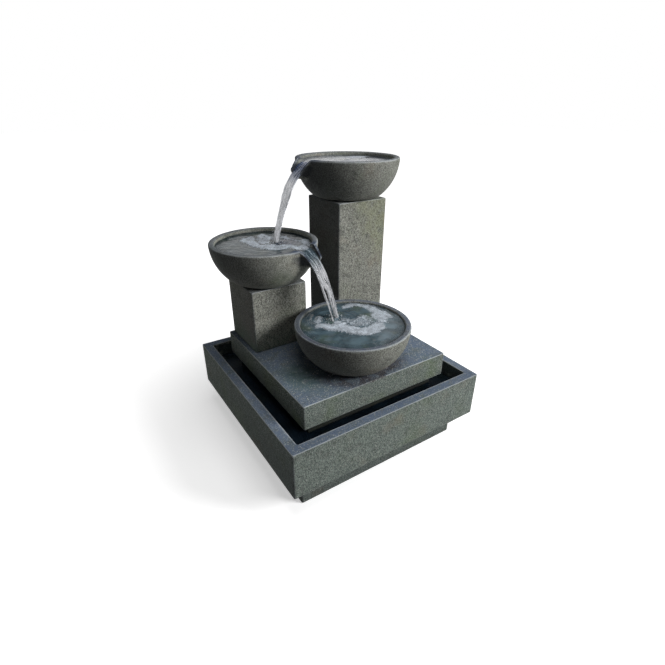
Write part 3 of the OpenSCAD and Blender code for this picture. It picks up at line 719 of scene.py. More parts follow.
class FOUNTAIN_OT_deck(Operator):
    """Model the deck and finish the riser under it, drawn near black as painted shade"""
    bl_idname = "fountain.deck"
    bl_label = "Deck and Riser"

    def execute(self, context):
        castings, _, tones = settings(context)
        low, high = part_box("deck")
        piece = cast("deck", castings, (downward, castings.deck_wall, high.z - low.z - castings.deck_plate))
        hose, bowl = centre("delivery_hose"), centre("bottom_bowl")
        carve(piece, rod("hose_hole", (hose.x, hose.y, low.z), castings.hose_hole, high.z - low.z + 0.01))
        x, y, z = points_of(piece).T
        top = z > high.z - 0.004
        mark(piece, "damp", ramp(np.hypot(x - bowl.x + 0.02, y - bowl.y - 0.02), 0.24, 0.04) * top * 0.75)
        green = np.hypot((x - GREEN_PATCH[0]) / GREEN_SIZE[0], (y - GREEN_PATCH[1]) / GREEN_SIZE[1])
        mark(piece, "algae", ramp(green, 1.4, 0.4) * top)
        far = np.hypot(x - bowl.x, y - bowl.y)
        ahead = (bowl.y - y) / np.maximum(far, 0.01)
        # A brown wet ring in front of the bottom bowl, which also carries painted glints
        mark(piece, "spill", ramp(np.abs(far - WET_RING), 0.045, 0.015) * ramp(ahead, 0, 0.625) * top)
        stone(piece, "deck", tones, tones.casting, bloom=0.85, moss=0.6)
        # Painted shade: the riser under the deck gets a tenth of the basin stone's colour
        dress(frame["nodes"]["riser"], stone_finish("riser stone", tones, scaled(tones.casting, 0.10),
            grain=0.5, bloom=0.1, moss=0.05, tint=0.15))
        return {"FINISHED"}


class FOUNTAIN_OT_pedestals(Operator):
    """Model the short and the tall hollow pedestal"""
    bl_idname = "fountain.pedestals"
    bl_label = "Pedestals"

    def execute(self, context):
        castings, _, tones = settings(context)
        wall = castings.pedestal_wall
        for node, shaded in (("short_pedestal", 0.58), ("tall_pedestal", 0.94)):
            low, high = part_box(node)
            tall = high.z - low.z
            piece = cast(node, castings, (downward, wall, tall - wall))
            if node == "tall_pedestal":
                hose = centre("delivery_hose")
                carve(piece, rod("fitting_hole", (hose.x, hose.y, high.z - 0.03), castings.fitting_hole, 0.04))
            x, _, z = points_of(piece).T
            up, right = (z - low.z) / tall, (x - low.x) / (high.x - low.x)
            # Painted shade: faces that look left are darkened, more so lower down
            mark(piece, "stain", ramp(-normals_of(piece)[:, 0], 0, 1) * (shaded - 0.25 * up))
            mark(piece, "algae", ramp(z - low.z, 0.075, 0))
            if node == "tall_pedestal":
                mark(piece, "lichen", ramp(right + up, 1.15, 1.45) * ramp(up, 0.45, 0.65))
            stone(piece, node, tones, tones.stone, moss=0.35, bloom=0.4)
        return {"FINISHED"}


def arc(x, z, radius, angles):
    """Points of an arc in a half outline."""
    return [(x + radius * math.cos(a), z + radius * math.sin(a)) for a in angles]


def bowl_line(castings, radius):
    """Half outline of a bowl, from its base over the rim to the middle of its floor."""
    outer, height, base, r = castings.bowl_arc, castings.bowl_height, castings.base_round, castings.rim_round
    hollow, floor = outer - castings.bowl_wall, height - castings.bowl_wall
    arc_x, base_z = radius - outer, base - height
    base_x = arc_x + math.sqrt((outer - base) ** 2 - base_z ** 2)
    meet = math.atan2(base_z, base_x - arc_x)
    end = -math.asin(floor / hollow)
    return [
        *((share * base_x, -height) for share in (0.0, 0.4, 0.8, 1.0)),
        *arc(base_x, base_z, base, np.linspace(-math.pi / 2, meet, 9)[1:]),
        *arc(arc_x, 0, outer, np.linspace(meet, -math.asin(r / outer), 17)[1:]),
        *arc(radius - r, -r, r, np.linspace(0.3, math.pi / 2, 5)),
        *arc(radius - castings.bowl_wall + r, -r, r, np.linspace(math.pi / 2, math.pi - 0.2, 5)),
        *arc(arc_x, 0, hollow, np.linspace(-0.06, end, 18)),
        (0.6 * (arc_x + hollow * math.cos(end)), -floor),
        (0.0, -floor),
    ]


# Steps round a bowl with a spout, the bottom bowl and a pool
SPOUT_STEPS, BOTTOM_STEPS, POOL_STEPS = 144, 192, 224


def turned(name, line, steps):
    """Spin a half outline about the upright axis and close it."""
    settle()
    bpy.ops.mesh.primitive_circle_add(vertices=3, radius=0.001, location=(0, 0, 0))
    piece = named(name)
    edit(piece)
    bpy.ops.mesh.select_mode(type="VERT")
    take_all()
    bpy.ops.mesh.merge(type="CENTER")
    bpy.ops.transform.translate(value=(line[0][0], 0, line[0][1]))
    for (x, z), (nx, nz) in zip(line, line[1:]):
        bpy.ops.mesh.extrude_vertices_move(TRANSFORM_OT_translate={"value": (nx - x, 0, nz - z)})
    take_all()
    bpy.ops.mesh.spin(steps=steps, angle=2 * math.pi, center=(0, 0, 0), axis=(0, 0, 1))
    take_all()
    bpy.ops.mesh.remove_doubles(threshold=0.00002)
    face_out()
    return piece


def placed(piece, at, turn=0.0):
    """Turn a piece about the upright axis, move it and put its place into its mesh."""
    choose(piece)
    piece.rotation_euler = (0, 0, turn)
    piece.location = at
    bpy.ops.object.transform_apply(location=True, rotation=True, scale=True)


def wedge(name, stations, round_low):
    """A body along +X whose half width, top and bottom change from station to station,
    with its lower edges rounded. A station is place, half width, low half width, top, bottom."""
    piece = block(name, (stations[0][0], -1, -1), (stations[-1][0], 1, 1))
    cut_grid([[s[0] for s in stations[1:-1]], [], []])
    for out, half, low_half, top, bottom in stations:
        for side in (-1, 1):
            for upper, width, level in ((1, half, top), (-1, low_half, bottom)):
                corner = Vector((out, side, upper))
                pick(piece, "VERT", lambda at, way: max(abs(a - b) for a, b in zip(at, corner)) < 1e-4)
                bpy.ops.transform.translate(value=(0, side * (width - 1), level - upper))
    pick(piece, "EDGE", lambda at, way: abs(way.x) > 0.5
        and at.z < min(s[3] for s in stations if s[0] >= at.x - 1e-4) - 0.002)
    bpy.ops.mesh.bevel(offset=round_low, segments=5, affect="EDGES", clamp_overlap=True)
    face_out()
    settle()
    return piece


# Spout stations as distance out, half width and height, in metres from the rim's centre
CHANNEL = [(0.120, 0.0430, -0.0180), (0.146, 0.0418, -0.0190), (0.156, 0.0382, -0.0212), (0.165, 0.0345, -0.0270),
    (0.176, 0.0302, -0.0370), (0.188, 0.0266, -0.0490), (0.206, 0.0228, -0.0700)]
LIPS = [(0.138, 0.0500, 0.0), (0.156, 0.0470, -0.0004), (0.165, 0.0425, -0.0070), (0.176, 0.0378, -0.0195)]

# Underside of a spout, and half width, low half width and height of its tip, in metres
UNDER, TIP = -0.060, (0.0342, 0.0150, -0.0335)


def spout_bowl(name, castings, aim, at):
    """A bowl with a chute blended into its rim."""
    piece = turned(name, bowl_line(castings, castings.bowl_radius), SPOUT_STEPS)
    body = [(out, half, half * 0.46, top, UNDER + max(0, out - 0.150) * 0.19) for out, half, top in LIPS]
    body.append((castings.tip, *TIP, UNDER + 0.007))
    carve(piece, wedge("chute", body, 0.013), "UNION")
    channel = [(out, half, half * 0.90, 0.04, floor) for out, half, floor in CHANNEL]
    carve(piece, wedge("channel", channel, 0.008))
    applied(piece, "REMESH", mode="VOXEL", voxel_size=castings.voxel, use_smooth_shade=True)
    applied(piece, "SMOOTH", factor=0.5, iterations=4)
    placed(piece, at, aim)
    return piece


def damp_inside(piece, castings, at, rim, radius, wet_rim_and_highlight, aim):
    """Mark the hollow of a bowl as damp, its rim as wet and darker with a painted highlight along its edge, its spout's
    lips as wet, and painted shade on its left side and in the hollows under its spout's lips.
    """
    points, normals = points_of(piece), normals_of(piece)
    away, depth = points[:, :2] - np.array((at.x, at.y)), rim - points[:, 2]
    flat = np.hypot(*away.T)
    skin = castings.bowl_wall / 2
    inner = np.hypot(np.maximum(flat - radius + castings.bowl_arc, 0), depth) < castings.bowl_arc - skin
    hollow = inner & (depth < castings.bowl_height - skin)
    # The wet rim is darker, more so towards the left side, where the darkening is painted shade
    stain = (depth < 0.005) * ramp(flat, radius - 0.003, radius - 0.005) * wet_rim_and_highlight
    stain *= 0.9 - 0.5 * away[:, 0] / radius
    if aim is not None:
        ahead, left = np.array(((math.cos(aim), math.sin(aim)), (-math.sin(aim), math.cos(aim))))
        out, across = away @ ahead, np.abs(away @ left)
        wet = ramp(out, 0.085, 0.115) * ramp(across, 0.085, 0.055) * (depth < 0.005 + 0.9 * np.maximum(out - 0.150, 0))
        # Wet stone of the spout, tinted by a painted sky reflection where it looks up
        mark(piece, "lip", wet * ramp(normals[:, 2], -0.4, 0.6) * 0.9)
        # Painted shade in the hollow under each side of the spout's lip
        side = ramp(out, 0.146, 0.156) * ramp(out, 0.190, 0.180) * (across > 0.022)
        stain = np.maximum(stain, side * ramp(depth, 0.012, 0.018) * ramp(depth, 0.056, 0.044) * (1 - hollow))
    # Painted shade: faces that look left, outside the hollow, are darkened
    mark(piece, "stain", np.maximum(ramp(-normals[:, 0], 0.15, 1.15) * (1 - hollow), stain))
    mark(piece, "damp", hollow * ramp(depth, 0.006, 0.014) * 0.7)
    edge = np.empty(len(points), np.float32)
    piece.data.attributes["edge"].data.foreach_get("value", edge)
    # Painted highlight: a light line along the rim's outer edge, added to the edge wear
    rim_line = (depth < 0.006) * ramp(np.abs(radius - 0.0018 - flat), 0.0025, 0) * 1.6 * wet_rim_and_highlight
    mark(piece, "edge", np.maximum(edge, rim_line))


def aim_of(start, end):
    """Angle from one place to another on the level, in radians."""
    return math.atan2(end.y - start.y, end.x - start.x)


# For each bowl: where its rim's centre is read, where its spout points, the painted light that brightens its stone, how
# grainy, streaked and mossy its stone is, its painted sky sheen, and how wet its rim is with the painted highlight on
# its edge
BOWLS = {
    "bottom_bowl": ("bottom_bowl", None, 1.38, 0.95, 0.4, 0.2, 0.75, 0.50),
    "middle_bowl": ("middle_pool", "bottom_bowl", 1.75, 0.8, 0.5, 0.4, 0.45, 0.45),
    "top_bowl": ("top_pool", "middle_pool", 1.28, 0.8, 0.5, 0.4, 0.45, 0.45),
}


class FOUNTAIN_OT_bowls(Operator):
    """Model the bottom bowl and the two bowls with spouts"""
    bl_idname = "fountain.bowls"
    bl_label = "Bowls"

    def execute(self, context):
        castings, _, tones = settings(context)
        for node, (pool, goal, light, grain, streak, moss, bloom, wet_rim_and_highlight) in BOWLS.items():
            at, rim = centre(pool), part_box(node)[1].z
            name, place = node + "_casting", (at.x, at.y, rim)
            if goal:
                radius, aim = castings.bowl_radius, aim_of(at, centre(goal))
                piece = spout_bowl(name, castings, aim, place)
            else:
                radius, aim = castings.bottom_radius, None
                piece = turned(name, bowl_line(castings, radius), BOTTOM_STEPS)
                placed(piece, place)
            if node == "top_bowl":
                stem = (at.x, at.y, rim - castings.bowl_height - 0.01)
                carve(piece, rod("stem_hole", stem, castings.stem_hole, 0.05))
            weathered(piece, castings, 60, 0.05)
            damp_inside(piece, castings, at, rim, radius, wet_rim_and_highlight, aim)
            # Painted light: each bowl's stone is lightened by its own gain for how much light falls on it
            stone(piece, node, tones, scaled(tones.bowl, light), grain=grain, streak=streak, bloom=bloom, moss=moss)
        return {"FINISHED"}


# Water

def far_from(points, path):
    """Distance on the level from each point to a line of corners."""
    best = np.full(len(points), 1e9)
    for a, b in zip(path, path[1:]):
        share = np.clip(((points - a) @ (b - a)) / ((b - a) @ (b - a)), 0, 1)
        best = np.minimum(best, np.linalg.norm(points - a - share[:, None] * (b - a), axis=1))
    return best


def depth_in(points, outline):
    """Distance from the outline of a region in millimetres, above zero inside it, in metres."""
    ring = np.array(outline + outline[:1], float) / 1000
    inside = np.zeros(len(points), bool)
    for (ax, ay), (bx, by) in zip(ring, ring[1:]):
        crosses = (ay > points[:, 1]) != (by > points[:, 1])
        with np.errstate(divide="ignore", invalid="ignore"):
            inside ^= crosses & (points[:, 0] < (bx - ax) * (points[:, 1] - ay) / (by - ay) + ax)
    away = far_from(points, ring)
    return np.where(inside, away, -away)


def rough_of(points, scale, seed=0.0):
    """Smooth noise from -1 to 1 at each point on the level."""
    return np.array([noise.noise(Vector((x * scale + seed, y * scale, seed))) for x, y in points])


def freeboard_in(bowl, water):
    return water.bottom_freeboard if bowl == "bottom_bowl" else water.freeboard


def pool_line(castings, water, radius, freeboard):
    """Half outline of the water in a bowl, with its surface in even steps."""
    hollow = castings.bowl_arc - castings.bowl_wall - water.gap
    floor = castings.bowl_height - castings.bowl_wall - water.gap
    turns = np.linspace(-math.asin(floor / hollow), -math.asin(freeboard / hollow), 14)
    line = [(0.0, -floor), *arc(radius - castings.bowl_arc, 0, hollow, turns)]
    reach = line[-1][0]
    count = round(reach / water.cell)
    return line + [(reach * (1 - i / count), -freeboard) for i in range(1, count + 1)]


# How far ripples run, height and width of the hump where water lands, and width of the froth's edge, in metres
RUN, HUMP, HUMP_WIDTH, FROTH_EDGE = 0.055, 0.0022, 0.016, 0.019


def stir(piece, level, water, landing, regions, at, lively):
    """Raise ripples round a landing, small waves and froth on a level surface."""
    points = points_of(piece)
    top = np.abs(points[:, 2] - level) < 1e-5
    flat = points[top][:, :2] - np.array(at)
    lift = rough_of(flat, 55) * water.chop + rough_of(flat, 140, 3.0) * water.chop * 0.5
    if landing is not None:
        away = np.linalg.norm(flat - np.array(landing), axis=1)
        waves = np.sin(2 * math.pi * away / water.wave + rough_of(flat, 20, 5.0))
        lift += water.ripple * waves * np.exp(-away / RUN) + HUMP * np.exp(-(away / HUMP_WIDTH) ** 2)
    ragged = rough_of(flat, 45, 9.0) * 0.007 + rough_of(flat, 120, 2.0) * 0.004
    froth = np.zeros(len(flat))
    for most, outline in regions:
        froth = np.maximum(froth, most * np.clip(0.5 + (depth_in(flat, outline) + ragged) / FROTH_EDGE, 0, 1))
    lift += froth * water.froth * (0.55 + 0.45 * rough_of(flat, 330, 7.0))
    points[top, 2] += lift * lively
    put_points(piece, points)
    whole = np.zeros(len(points))
    whole[top] = froth
    mark(piece, "froth", whole)


# Froth on each pool: its strength, and its outline in millimetres from the pool's middle
FROTH = {
    "top_pool": [
        (0.70, [(28, 46), (84, 28), (120, 50), (90, 80), (40, 90)]),
        (0.55, [(-120, 0), (-80, -20), (-60, 10), (-90, 40), (-122, 20)])],
    "middle_pool": [
        (0.78, [(-50, 74), (-31, 90), (1, 98), (12, 83), (-8, 45), (-9, -5), (22, -17), (31, -37), (64, -47),
            (75, -77), (101, -67), (103, -104), (85, -142), (65, -145), (58, -125), (43, -85), (7, -84), (-22, -60),
            (-39, -29), (-48, 20)]),
        (0.70, [(19, 98), (46, 112), (54, 76), (50, 39), (15, -12), (-9, -5), (-14, 24)]),
        (0.72, [(80, 59), (99, 37), (95, 11), (105, -25), (132, -18), (138, -30), (126, -83), (92, -130),
            (86, -110), (101, -67), (98, -29), (85, 2), (65, 30)])],
    "bottom_pool": [
        (1.00, [(-53, 32), (-31, 38), (-13, 19), (-12, -15), (6, -32), (26, -39), (62, -29), (87, -18), (65, -77),
            (22, -84), (-4, -82), (-23, -71), (-42, -49), (-58, -20), (-77, -5), (-91, 24), (-104, 34), (-91, 63),
            (-68, 83), (-51, 99), (-58, 76), (-82, 51)]),
        (0.85, [(69, -20), (89, 10), (95, 43), (93, 75), (74, 96), (37, 100), (37, 119), (62, 127), (84, 125),
            (108, 100), (122, 86), (134, 62), (134, 31), (137, -11), (128, -28), (107, -34), (88, -32), (87, -18)]),
        (0.85, [(66, -30), (74, 0), (80, 30), (100, 20), (108, -20), (92, -48), (70, -50)]),
        (0.58, [(-12, 47), (6, 46), (18, 27), (50, 35), (71, 29), (74, -2), (60, -28), (26, -39), (6, -32),
            (-12, -15), (-13, 19), (-22, 32)])],
}

# For each pool, in metres from its middle: its bowl, where its water lands, how lively it is,
# and the middle, radius and strength of its painted dark reflection
POOLS = {
    "top_pool": ("top_bowl", (0.0, 0.0), 0.8, (0.118, 0.010), 0.030, 0.85),
    "middle_pool": ("middle_bowl", (0.044, 0.008), 1.0, (0.068, -0.025), 0.036, 0.90),
    "bottom_pool": ("bottom_bowl", (-0.027, 0.052), 1.0, (0.020, 0.060), 0.030, 0.25),
}

# How much of each channel is left of the water in the shade of the upper fall
SHADED = (0.29, 0.34, 0.34)


class FOUNTAIN_OT_pools(Operator):
    """Model the rippled water in the three bowls"""
    bl_idname = "fountain.pools"
    bl_label = "Water in the Bowls"

    def execute(self, context):
        castings, water, tones = settings(context)
        looks = {
            "bottom_pool": water_finish("still water", tones, tones.water),
            # Milky with fine bubbles, and made light as a painted reflection of the pale surroundings
            "top_pool": water_finish("milky water", tones, tones.milky_and_painted_sheen, murky=0.25),
            "middle_pool": water_finish("shaded water", tones, scaled(tones.water, SHADED), 0.4),
        }
        for node, (bowl, landing, lively, dark, wide, most) in POOLS.items():
            at, rim, board = centre(node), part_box(bowl)[1].z, freeboard_in(bowl, water)
            radius = castings.bottom_radius if bowl == "bottom_bowl" else castings.bowl_radius
            piece = turned(node + "_water", pool_line(castings, water, radius, board), POOL_STEPS)
            placed(piece, (at.x, at.y, rim))
            stir(piece, rim - board, water, landing, FROTH[node], (at.x, at.y), lively)
            flat = points_of(piece)[:, :2] - np.array((at.x, at.y))
            mark(piece, "clear", ramp(np.hypot(*flat.T), radius - 0.050, radius - 0.020))
            # Painted dark reflection: a dark spot round the given middle
            mark(piece, "navy", ramp(np.hypot(*(flat - dark).T) / wide, 1.5, 0.5) * most)
            if node == "top_pool":
                carve(piece, rod("stem", (at.x, at.y, rim - 0.13), castings.stem_hole, 0.052))
            finished(piece, node, "water", looks[node])
        return {"FINISHED"}


class FOUNTAIN_OT_basin_water(Operator):
    """Model the water in the basin's moat"""
    bl_idname = "fountain.basin_water"
    bl_label = "Water in the Basin"

    def execute(self, context):
        _, water, tones = settings(context)
        low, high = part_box("basin_water")
        settle()
        bpy.ops.mesh.primitive_plane_add(size=1, location=(0, 0, high.z))
        piece = named("moat_water")
        edit(piece)
        take_all()
        bpy.ops.transform.resize(value=(high.x - low.x, high.y - low.y, 1))
        bpy.ops.mesh.inset(thickness=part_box("riser")[0].x - low.x - water.gap)
        pick(piece, "FACE", lambda at, way: abs(at.x) < 0.01 and abs(at.y) < 0.01)
        bpy.ops.mesh.delete(type="FACE")
        steps = places(low.x, high.x, water.moat_cell, 0.004)
        cut_grid([steps, steps, []])
        applied(piece, "SOLIDIFY", thickness=high.z - low.z, offset=-1)
        stir(piece, high.z, water, None, [], (0, 0), 1.4)
        finished(piece, "basin_water", "water", water_finish("basin water", tones, tones.moat, 0.10, 0.45))
        return {"FINISHED"}


# How far the water stands off its spout, how much more it does in the bowl, and where that ends, in metres
STAND_OFF, SWELL, SWELL_END = 0.0003, 0.0018, 0.15

# Cells down a fall
FALL_STEPS = 30


def way_down(water, reach, landing, slope):
    """Middle line of a fall as out and height, from inside the bowl over the chute to the water."""
    film = water.film / 2 + STAND_OFF
    line = [(out, floor + film + (SWELL if out < SWELL_END else 0.0)) for out, half, floor in CHANNEL[:5]]
    out, height = line[-1]
    reach = CHANNEL[5][0] + reach - out
    drop = height - landing - slope * reach
    shares = [i / FALL_STEPS for i in range(1, FALL_STEPS + 1)]
    return line + [(out + reach * share, height - slope * reach * share - drop * share ** 2) for share in shares]


def along(line, share_down):
    """Points and directions at shares of a line's length, and how far along they are."""
    line = np.array(line)
    run = np.concatenate([[0], np.cumsum(np.linalg.norm(np.diff(line, axis=0), axis=1))])
    want = share_down * run[-1]

    def at(place):
        return np.stack([np.interp(place, run, line[:, k]) for k in range(2)], axis=1)

    way = at(np.minimum(want + 0.002, run[-1])) - at(np.maximum(want - 0.002, 0))
    return at(want), way / np.linalg.norm(way, axis=1)[:, None], want


# Width of a fall's flutes and how far a strand wanders, in metres
FLUTE, WANDER = 0.006, 0.0018


def strand(name, line, widths, thickness, shifts, seed, pale, rows=110, sides=36):
    """One fluted strand of water, shaped from a cylinder along a line in the XZ plane."""
    settle()
    bpy.ops.mesh.primitive_cylinder_add(vertices=sides, radius=1, depth=1, location=(0, 0, 0.5), end_fill_type="NGON")
    piece = named(name)
    edit(piece)
    cut_grid([[], [], [i / rows for i in range(1, rows)]])
    settle()
    unit = points_of(piece)
    share_down = np.clip(unit[:, 2], 0, 1)
    angle = np.arctan2(unit[:, 1], unit[:, 0])
    point, way, run = along(line, share_down)
    half, thick, shift = (np.interp(share_down, *zip(*table)) for table in (widths, thickness, shifts))
    across = np.cos(angle)
    flutes = np.array([noise.noise(Vector((a * 3.2 + seed, s * 5.0, seed)))
        + 0.5 * noise.noise(Vector((a * 8.0, s * 16.0, seed + 4)))
        for a, s in zip(across * half / FLUTE, share_down)])
    loose = np.clip(share_down * 2.2 - 0.25, 0, 1)
    wander = np.array([noise.noise(Vector((seed, s * 9.0, 1.7))) for s in share_down]) * WANDER * loose
    face = np.sin(angle) * thick * (1 + flutes * 0.75 * (0.35 + loose)) * 0.5
    edge = half * across * (1 + 0.10 * flutes * loose)
    put_points(piece, np.stack([point[:, 0] - way[:, 1] * face, shift + edge + wander,
        point[:, 1] + way[:, 0] * face], axis=1))
    flow = piece.data.attributes.new("flow", "FLOAT_VECTOR", "POINT")
    values = np.stack([edge + seed * 0.1, run, np.full(len(run), seed)], axis=1)
    flow.data.foreach_set("vector", values.astype(np.float32).ravel())
    mark(piece, "white", ramp(share_down, pale, pale + 0.20))
    mark(piece, "begin", ramp(run, 0, 0.030))
    return piece


def joined(name, parts):
    """Join meshes into one piece."""
    choose(parts[0])
    for part in parts:
        part.select_set(True)
    bpy.ops.object.join()
    parts[0].name = parts[0].data.name = name
    return parts[0]


def drops(name, spots, rng):
    """Small beads of water at the given places, each a stretched copy of one icosphere."""
    settle()
    bpy.ops.mesh.primitive_ico_sphere_add(subdivisions=2, radius=1, location=(0, 0, 0))
    first = named(name)
    unit = points_of(first)
    parts = []
    for at, radius, tall in spots:
        piece = first
        if parts:
            piece = first.copy()
            piece.data = first.data.copy()
            bpy.context.scene.collection.objects.link(piece)
        parts.append(piece)
        wobble = np.array([1 + rng.uniform(-0.1, 0.1), 1 + rng.uniform(-0.1, 0.1), tall])
        put_points(piece, unit * radius * wobble + np.array(at))
    return joined(name, parts)


# Half widths of a fall in its spout. In this table and the next, a place is a share of a fall's length,
# and widths and shifts to the side are in metres.
SPOUT_WIDTHS = [(0, 0.0400), (0.10, 0.0380), (0.16, 0.0335), (0.21, 0.0290), (0.27, 0.0262)]

# The two falls: where they run, the slope that they leave at, their tones in the spout and below it, the painted light
# that scales their white and dark gaps, and their shapes. A thread is its start, its shift and its thickness, and a
# branch is its shifts and widths.
FALLS = {
    "upper_fall": {
        "way": ("top_pool", "middle_pool", "top_bowl", "middle_bowl"), "slope": 0.70, "seed": 1.0, "pale": 0.18,
        "body": 0.50, "light": 0.88, "shade": (0.020, 0.036, 0.095), "shine": (0.13, 0.19, 0.34),
        "widths": [(0.36, 0.0255), (0.46, 0.0245), (0.55, 0.0220), (0.63, 0.0185), (0.75, 0.0125), (0.86, 0.0100),
            (1, 0.0105)],
        "shifts": [(0, 0), (0.3, 0), (0.6, 0.0018), (1, 0.0028)],
        "threads": [(0.34, 0.0205, 0.0028), (0.40, -0.0195, 0.0022), (0.52, -0.0150, 0.0016)],
        "branches": [],
    },
    "lower_fall": {
        "way": ("middle_pool", "bottom_bowl", "middle_bowl", "bottom_bowl"), "slope": 1.05, "seed": 2.0, "pale": 0.20,
        "body": 0.36, "light": 0.50, "shade": (0.030, 0.050, 0.065), "shine": (0.26, 0.31, 0.35),
        "widths": [(0.36, 0.0240), (0.50, 0.0225), (0.57, 0.0175), (0.64, 0.0112), (0.79, 0.0092), (0.91, 0.0058),
            (1, 0.0062)],
        "shifts": [(0, 0), (0.5, 0), (0.57, 0.004), (0.64, 0.0085), (0.79, 0.0070), (1, 0.0060)],
        "threads": [(0.34, 0.0240, 0.0024), (0.44, 0.0205, 0.0016)],
        "branches": [(
            [(0, -0.016), (0.30, -0.0180), (0.50, -0.0190), (0.64, -0.0200), (0.79, -0.0155), (1, -0.0135)],
            [(0, 0.0004), (0.30, 0.0008), (0.42, 0.0042), (0.62, 0.0046), (0.8, 0.0038), (1, 0.0036)])],
    },
}


# Drops beside a fall, drops round its landing and beads on the deck
STRAYS, SPLASHED, BEADS = 46, 60, 150


class FOUNTAIN_OT_falls(Operator):
    """Model the two falls of water with their threads and drops"""
    bl_idname = "fountain.falls"
    bl_label = "Falling Water"

    def execute(self, context):
        _, water, tones = settings(context)
        rng = random.Random(7)
        for node, fall in FALLS.items():
            pool, goal, bowl, below = fall["way"]
            at, rim, pale = centre(pool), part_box(bowl)[1].z, fall["pale"]
            origin, aim = Vector((at.x, at.y, rim)), aim_of(at, centre(goal))
            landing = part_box(below)[1].z - freeboard_in(below, water) - rim
            line = way_down(water, getattr(water, node.replace("fall", "reach")), landing - 0.001, fall["slope"])
            thick = [(0, 0.0040), (0.15, water.film * 0.8), (0.3, water.film), (0.6, 0.0085), (1, 0.0080)]
            parts = [strand(node, line, SPOUT_WIDTHS + fall["widths"], thick, fall["shifts"], fall["seed"], pale)]
            for k, (start, shift, size) in enumerate(fall["threads"]):
                shifts = [(0, shift), (start, shift * 0.95), (0.8, shift * 0.80), (1, shift * 0.65)]
                thin = [(0, 0.0002), (start, 0.0003), (start + 0.1, size), (0.85, size * 0.7), (1, size)]
                parts.append(strand(node, line, thin, [(s, w * 1.5) for s, w in thin], shifts, 3.0 + k, pale, 80, 10))
            for shifts, wide in fall["branches"]:
                parts.append(strand(node, line, wide, [(s, w * 1.1) for s, w in wide], shifts, 9.0, pale, 90, 18))
            piece = joined(node + "_water", parts)
            placed(piece, origin, aim)
            finished(piece, node, "falling_water", fall_finish(node.replace("_", " "), tones, fall))
            way, spots = Matrix.Rotation(aim, 3, "Z"), []
            for _ in range(STRAYS):
                u = rng.random() ** 0.6
                (out, height), = along(line, np.array([0.35 + 0.65 * u]))[0]
                off = rng.choice((-1, 1)) * (0.014 + 0.016 * rng.random() * u)
                spot = Vector((out + rng.uniform(-0.006, 0.008), off, height))
                spots.append((origin + way @ spot, water.drop * rng.uniform(0.35, 0.9), rng.uniform(1.0, 1.7)))
            for _ in range(SPLASHED):
                turn, far = rng.uniform(0, 2 * math.pi), 0.008 + 0.034 * rng.random() ** 1.3
                up = rng.random() ** 2 * 0.026 * (1 - far / 0.05)
                spot = Vector((line[-1][0] + far * math.cos(turn), far * math.sin(turn), landing + 0.001 + up))
                spots.append((origin + way @ spot, water.drop * rng.uniform(0.35, 1.0), 1.0))
            finished(drops(node + "_drops", spots, rng), node, "falling_water", drop_finish(tones))
        return {"FINISHED"}


class FOUNTAIN_OT_splashes(Operator):
    """Scatter beads of water on the wet deck"""
    bl_idname = "fountain.splashes"
    bl_label = "Splashes"

    def execute(self, context):
        tones = context.scene.fountain_finishes
        rng = random.Random(23)
        bowl = centre("bottom_bowl")
        low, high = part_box("deck")
        spots = []
        while len(spots) < BEADS:
            turn, far = rng.uniform(0, 2 * math.pi), 0.098 + abs(rng.gauss(0, 0.055))
            x, y = bowl.x + far * math.cos(turn), bowl.y + far * math.sin(turn)
            if low.x + 0.006 < x < high.x - 0.006 and low.y + 0.006 < y < 0.050:
                size = rng.uniform(0.0006, 0.0017)
                spots.append(((x, y, high.z + size * 0.1), size, 0.45))
        finished(drops("deck_beads", spots, rng), "deck", "falling_water", drop_finish(tones), False)
        return {"FINISHED"}


class FOUNTAIN_OT_fittings(Operator):
    """Finish the pump, hose, pads, inlet and plugs"""
    bl_idname = "fountain.fittings"
    bl_label = "Pump and Fittings"

    def execute(self, context):
        tones = context.scene.fountain_finishes
        made = {
            "rubber": moulded_finish("rubber", tones.rubber, 0.62, 700, 0.25),
            "moulded_plastic": moulded_finish("moulded plastic", tones.plastic, 0.40),
            "hose_plastic": moulded_finish("hose", tones.hose, 0.30, 500, 0.20, Coat_Weight=0.2),
            "steel": moulded_finish("clamp steel", tones.steel, 0.28, 1200, 0.30, 1.0),
            "dial_plastic": moulded_finish("dial plastic", tones.dial, 0.35),
            "impeller_plastic": moulded_finish("impeller plastic", tones.rotor, 0.35),
            "shaft_ceramic": moulded_finish("ceramic", tones.ceramic, 0.20, 1500, 0.15),
        }
        for row in frame["record"]["subparts"]:
            if row["material_slot"] in made:
                dress(frame["nodes"][row["node"]], made[row["material_slot"]])
        return {"FINISHED"}


# Place and width of each lamp, what they point at, and width and height of the floor, in metres
LAMPS = {"key": ((2.15, -2.65, 2.1), 1.5), "fill": ((0.1, -0.5, 3.4), 2.2)}
TARGET = Vector((0, 0, 0.3))
FLOOR_WIDTH, FLOOR_HEIGHT = 40, -0.0005


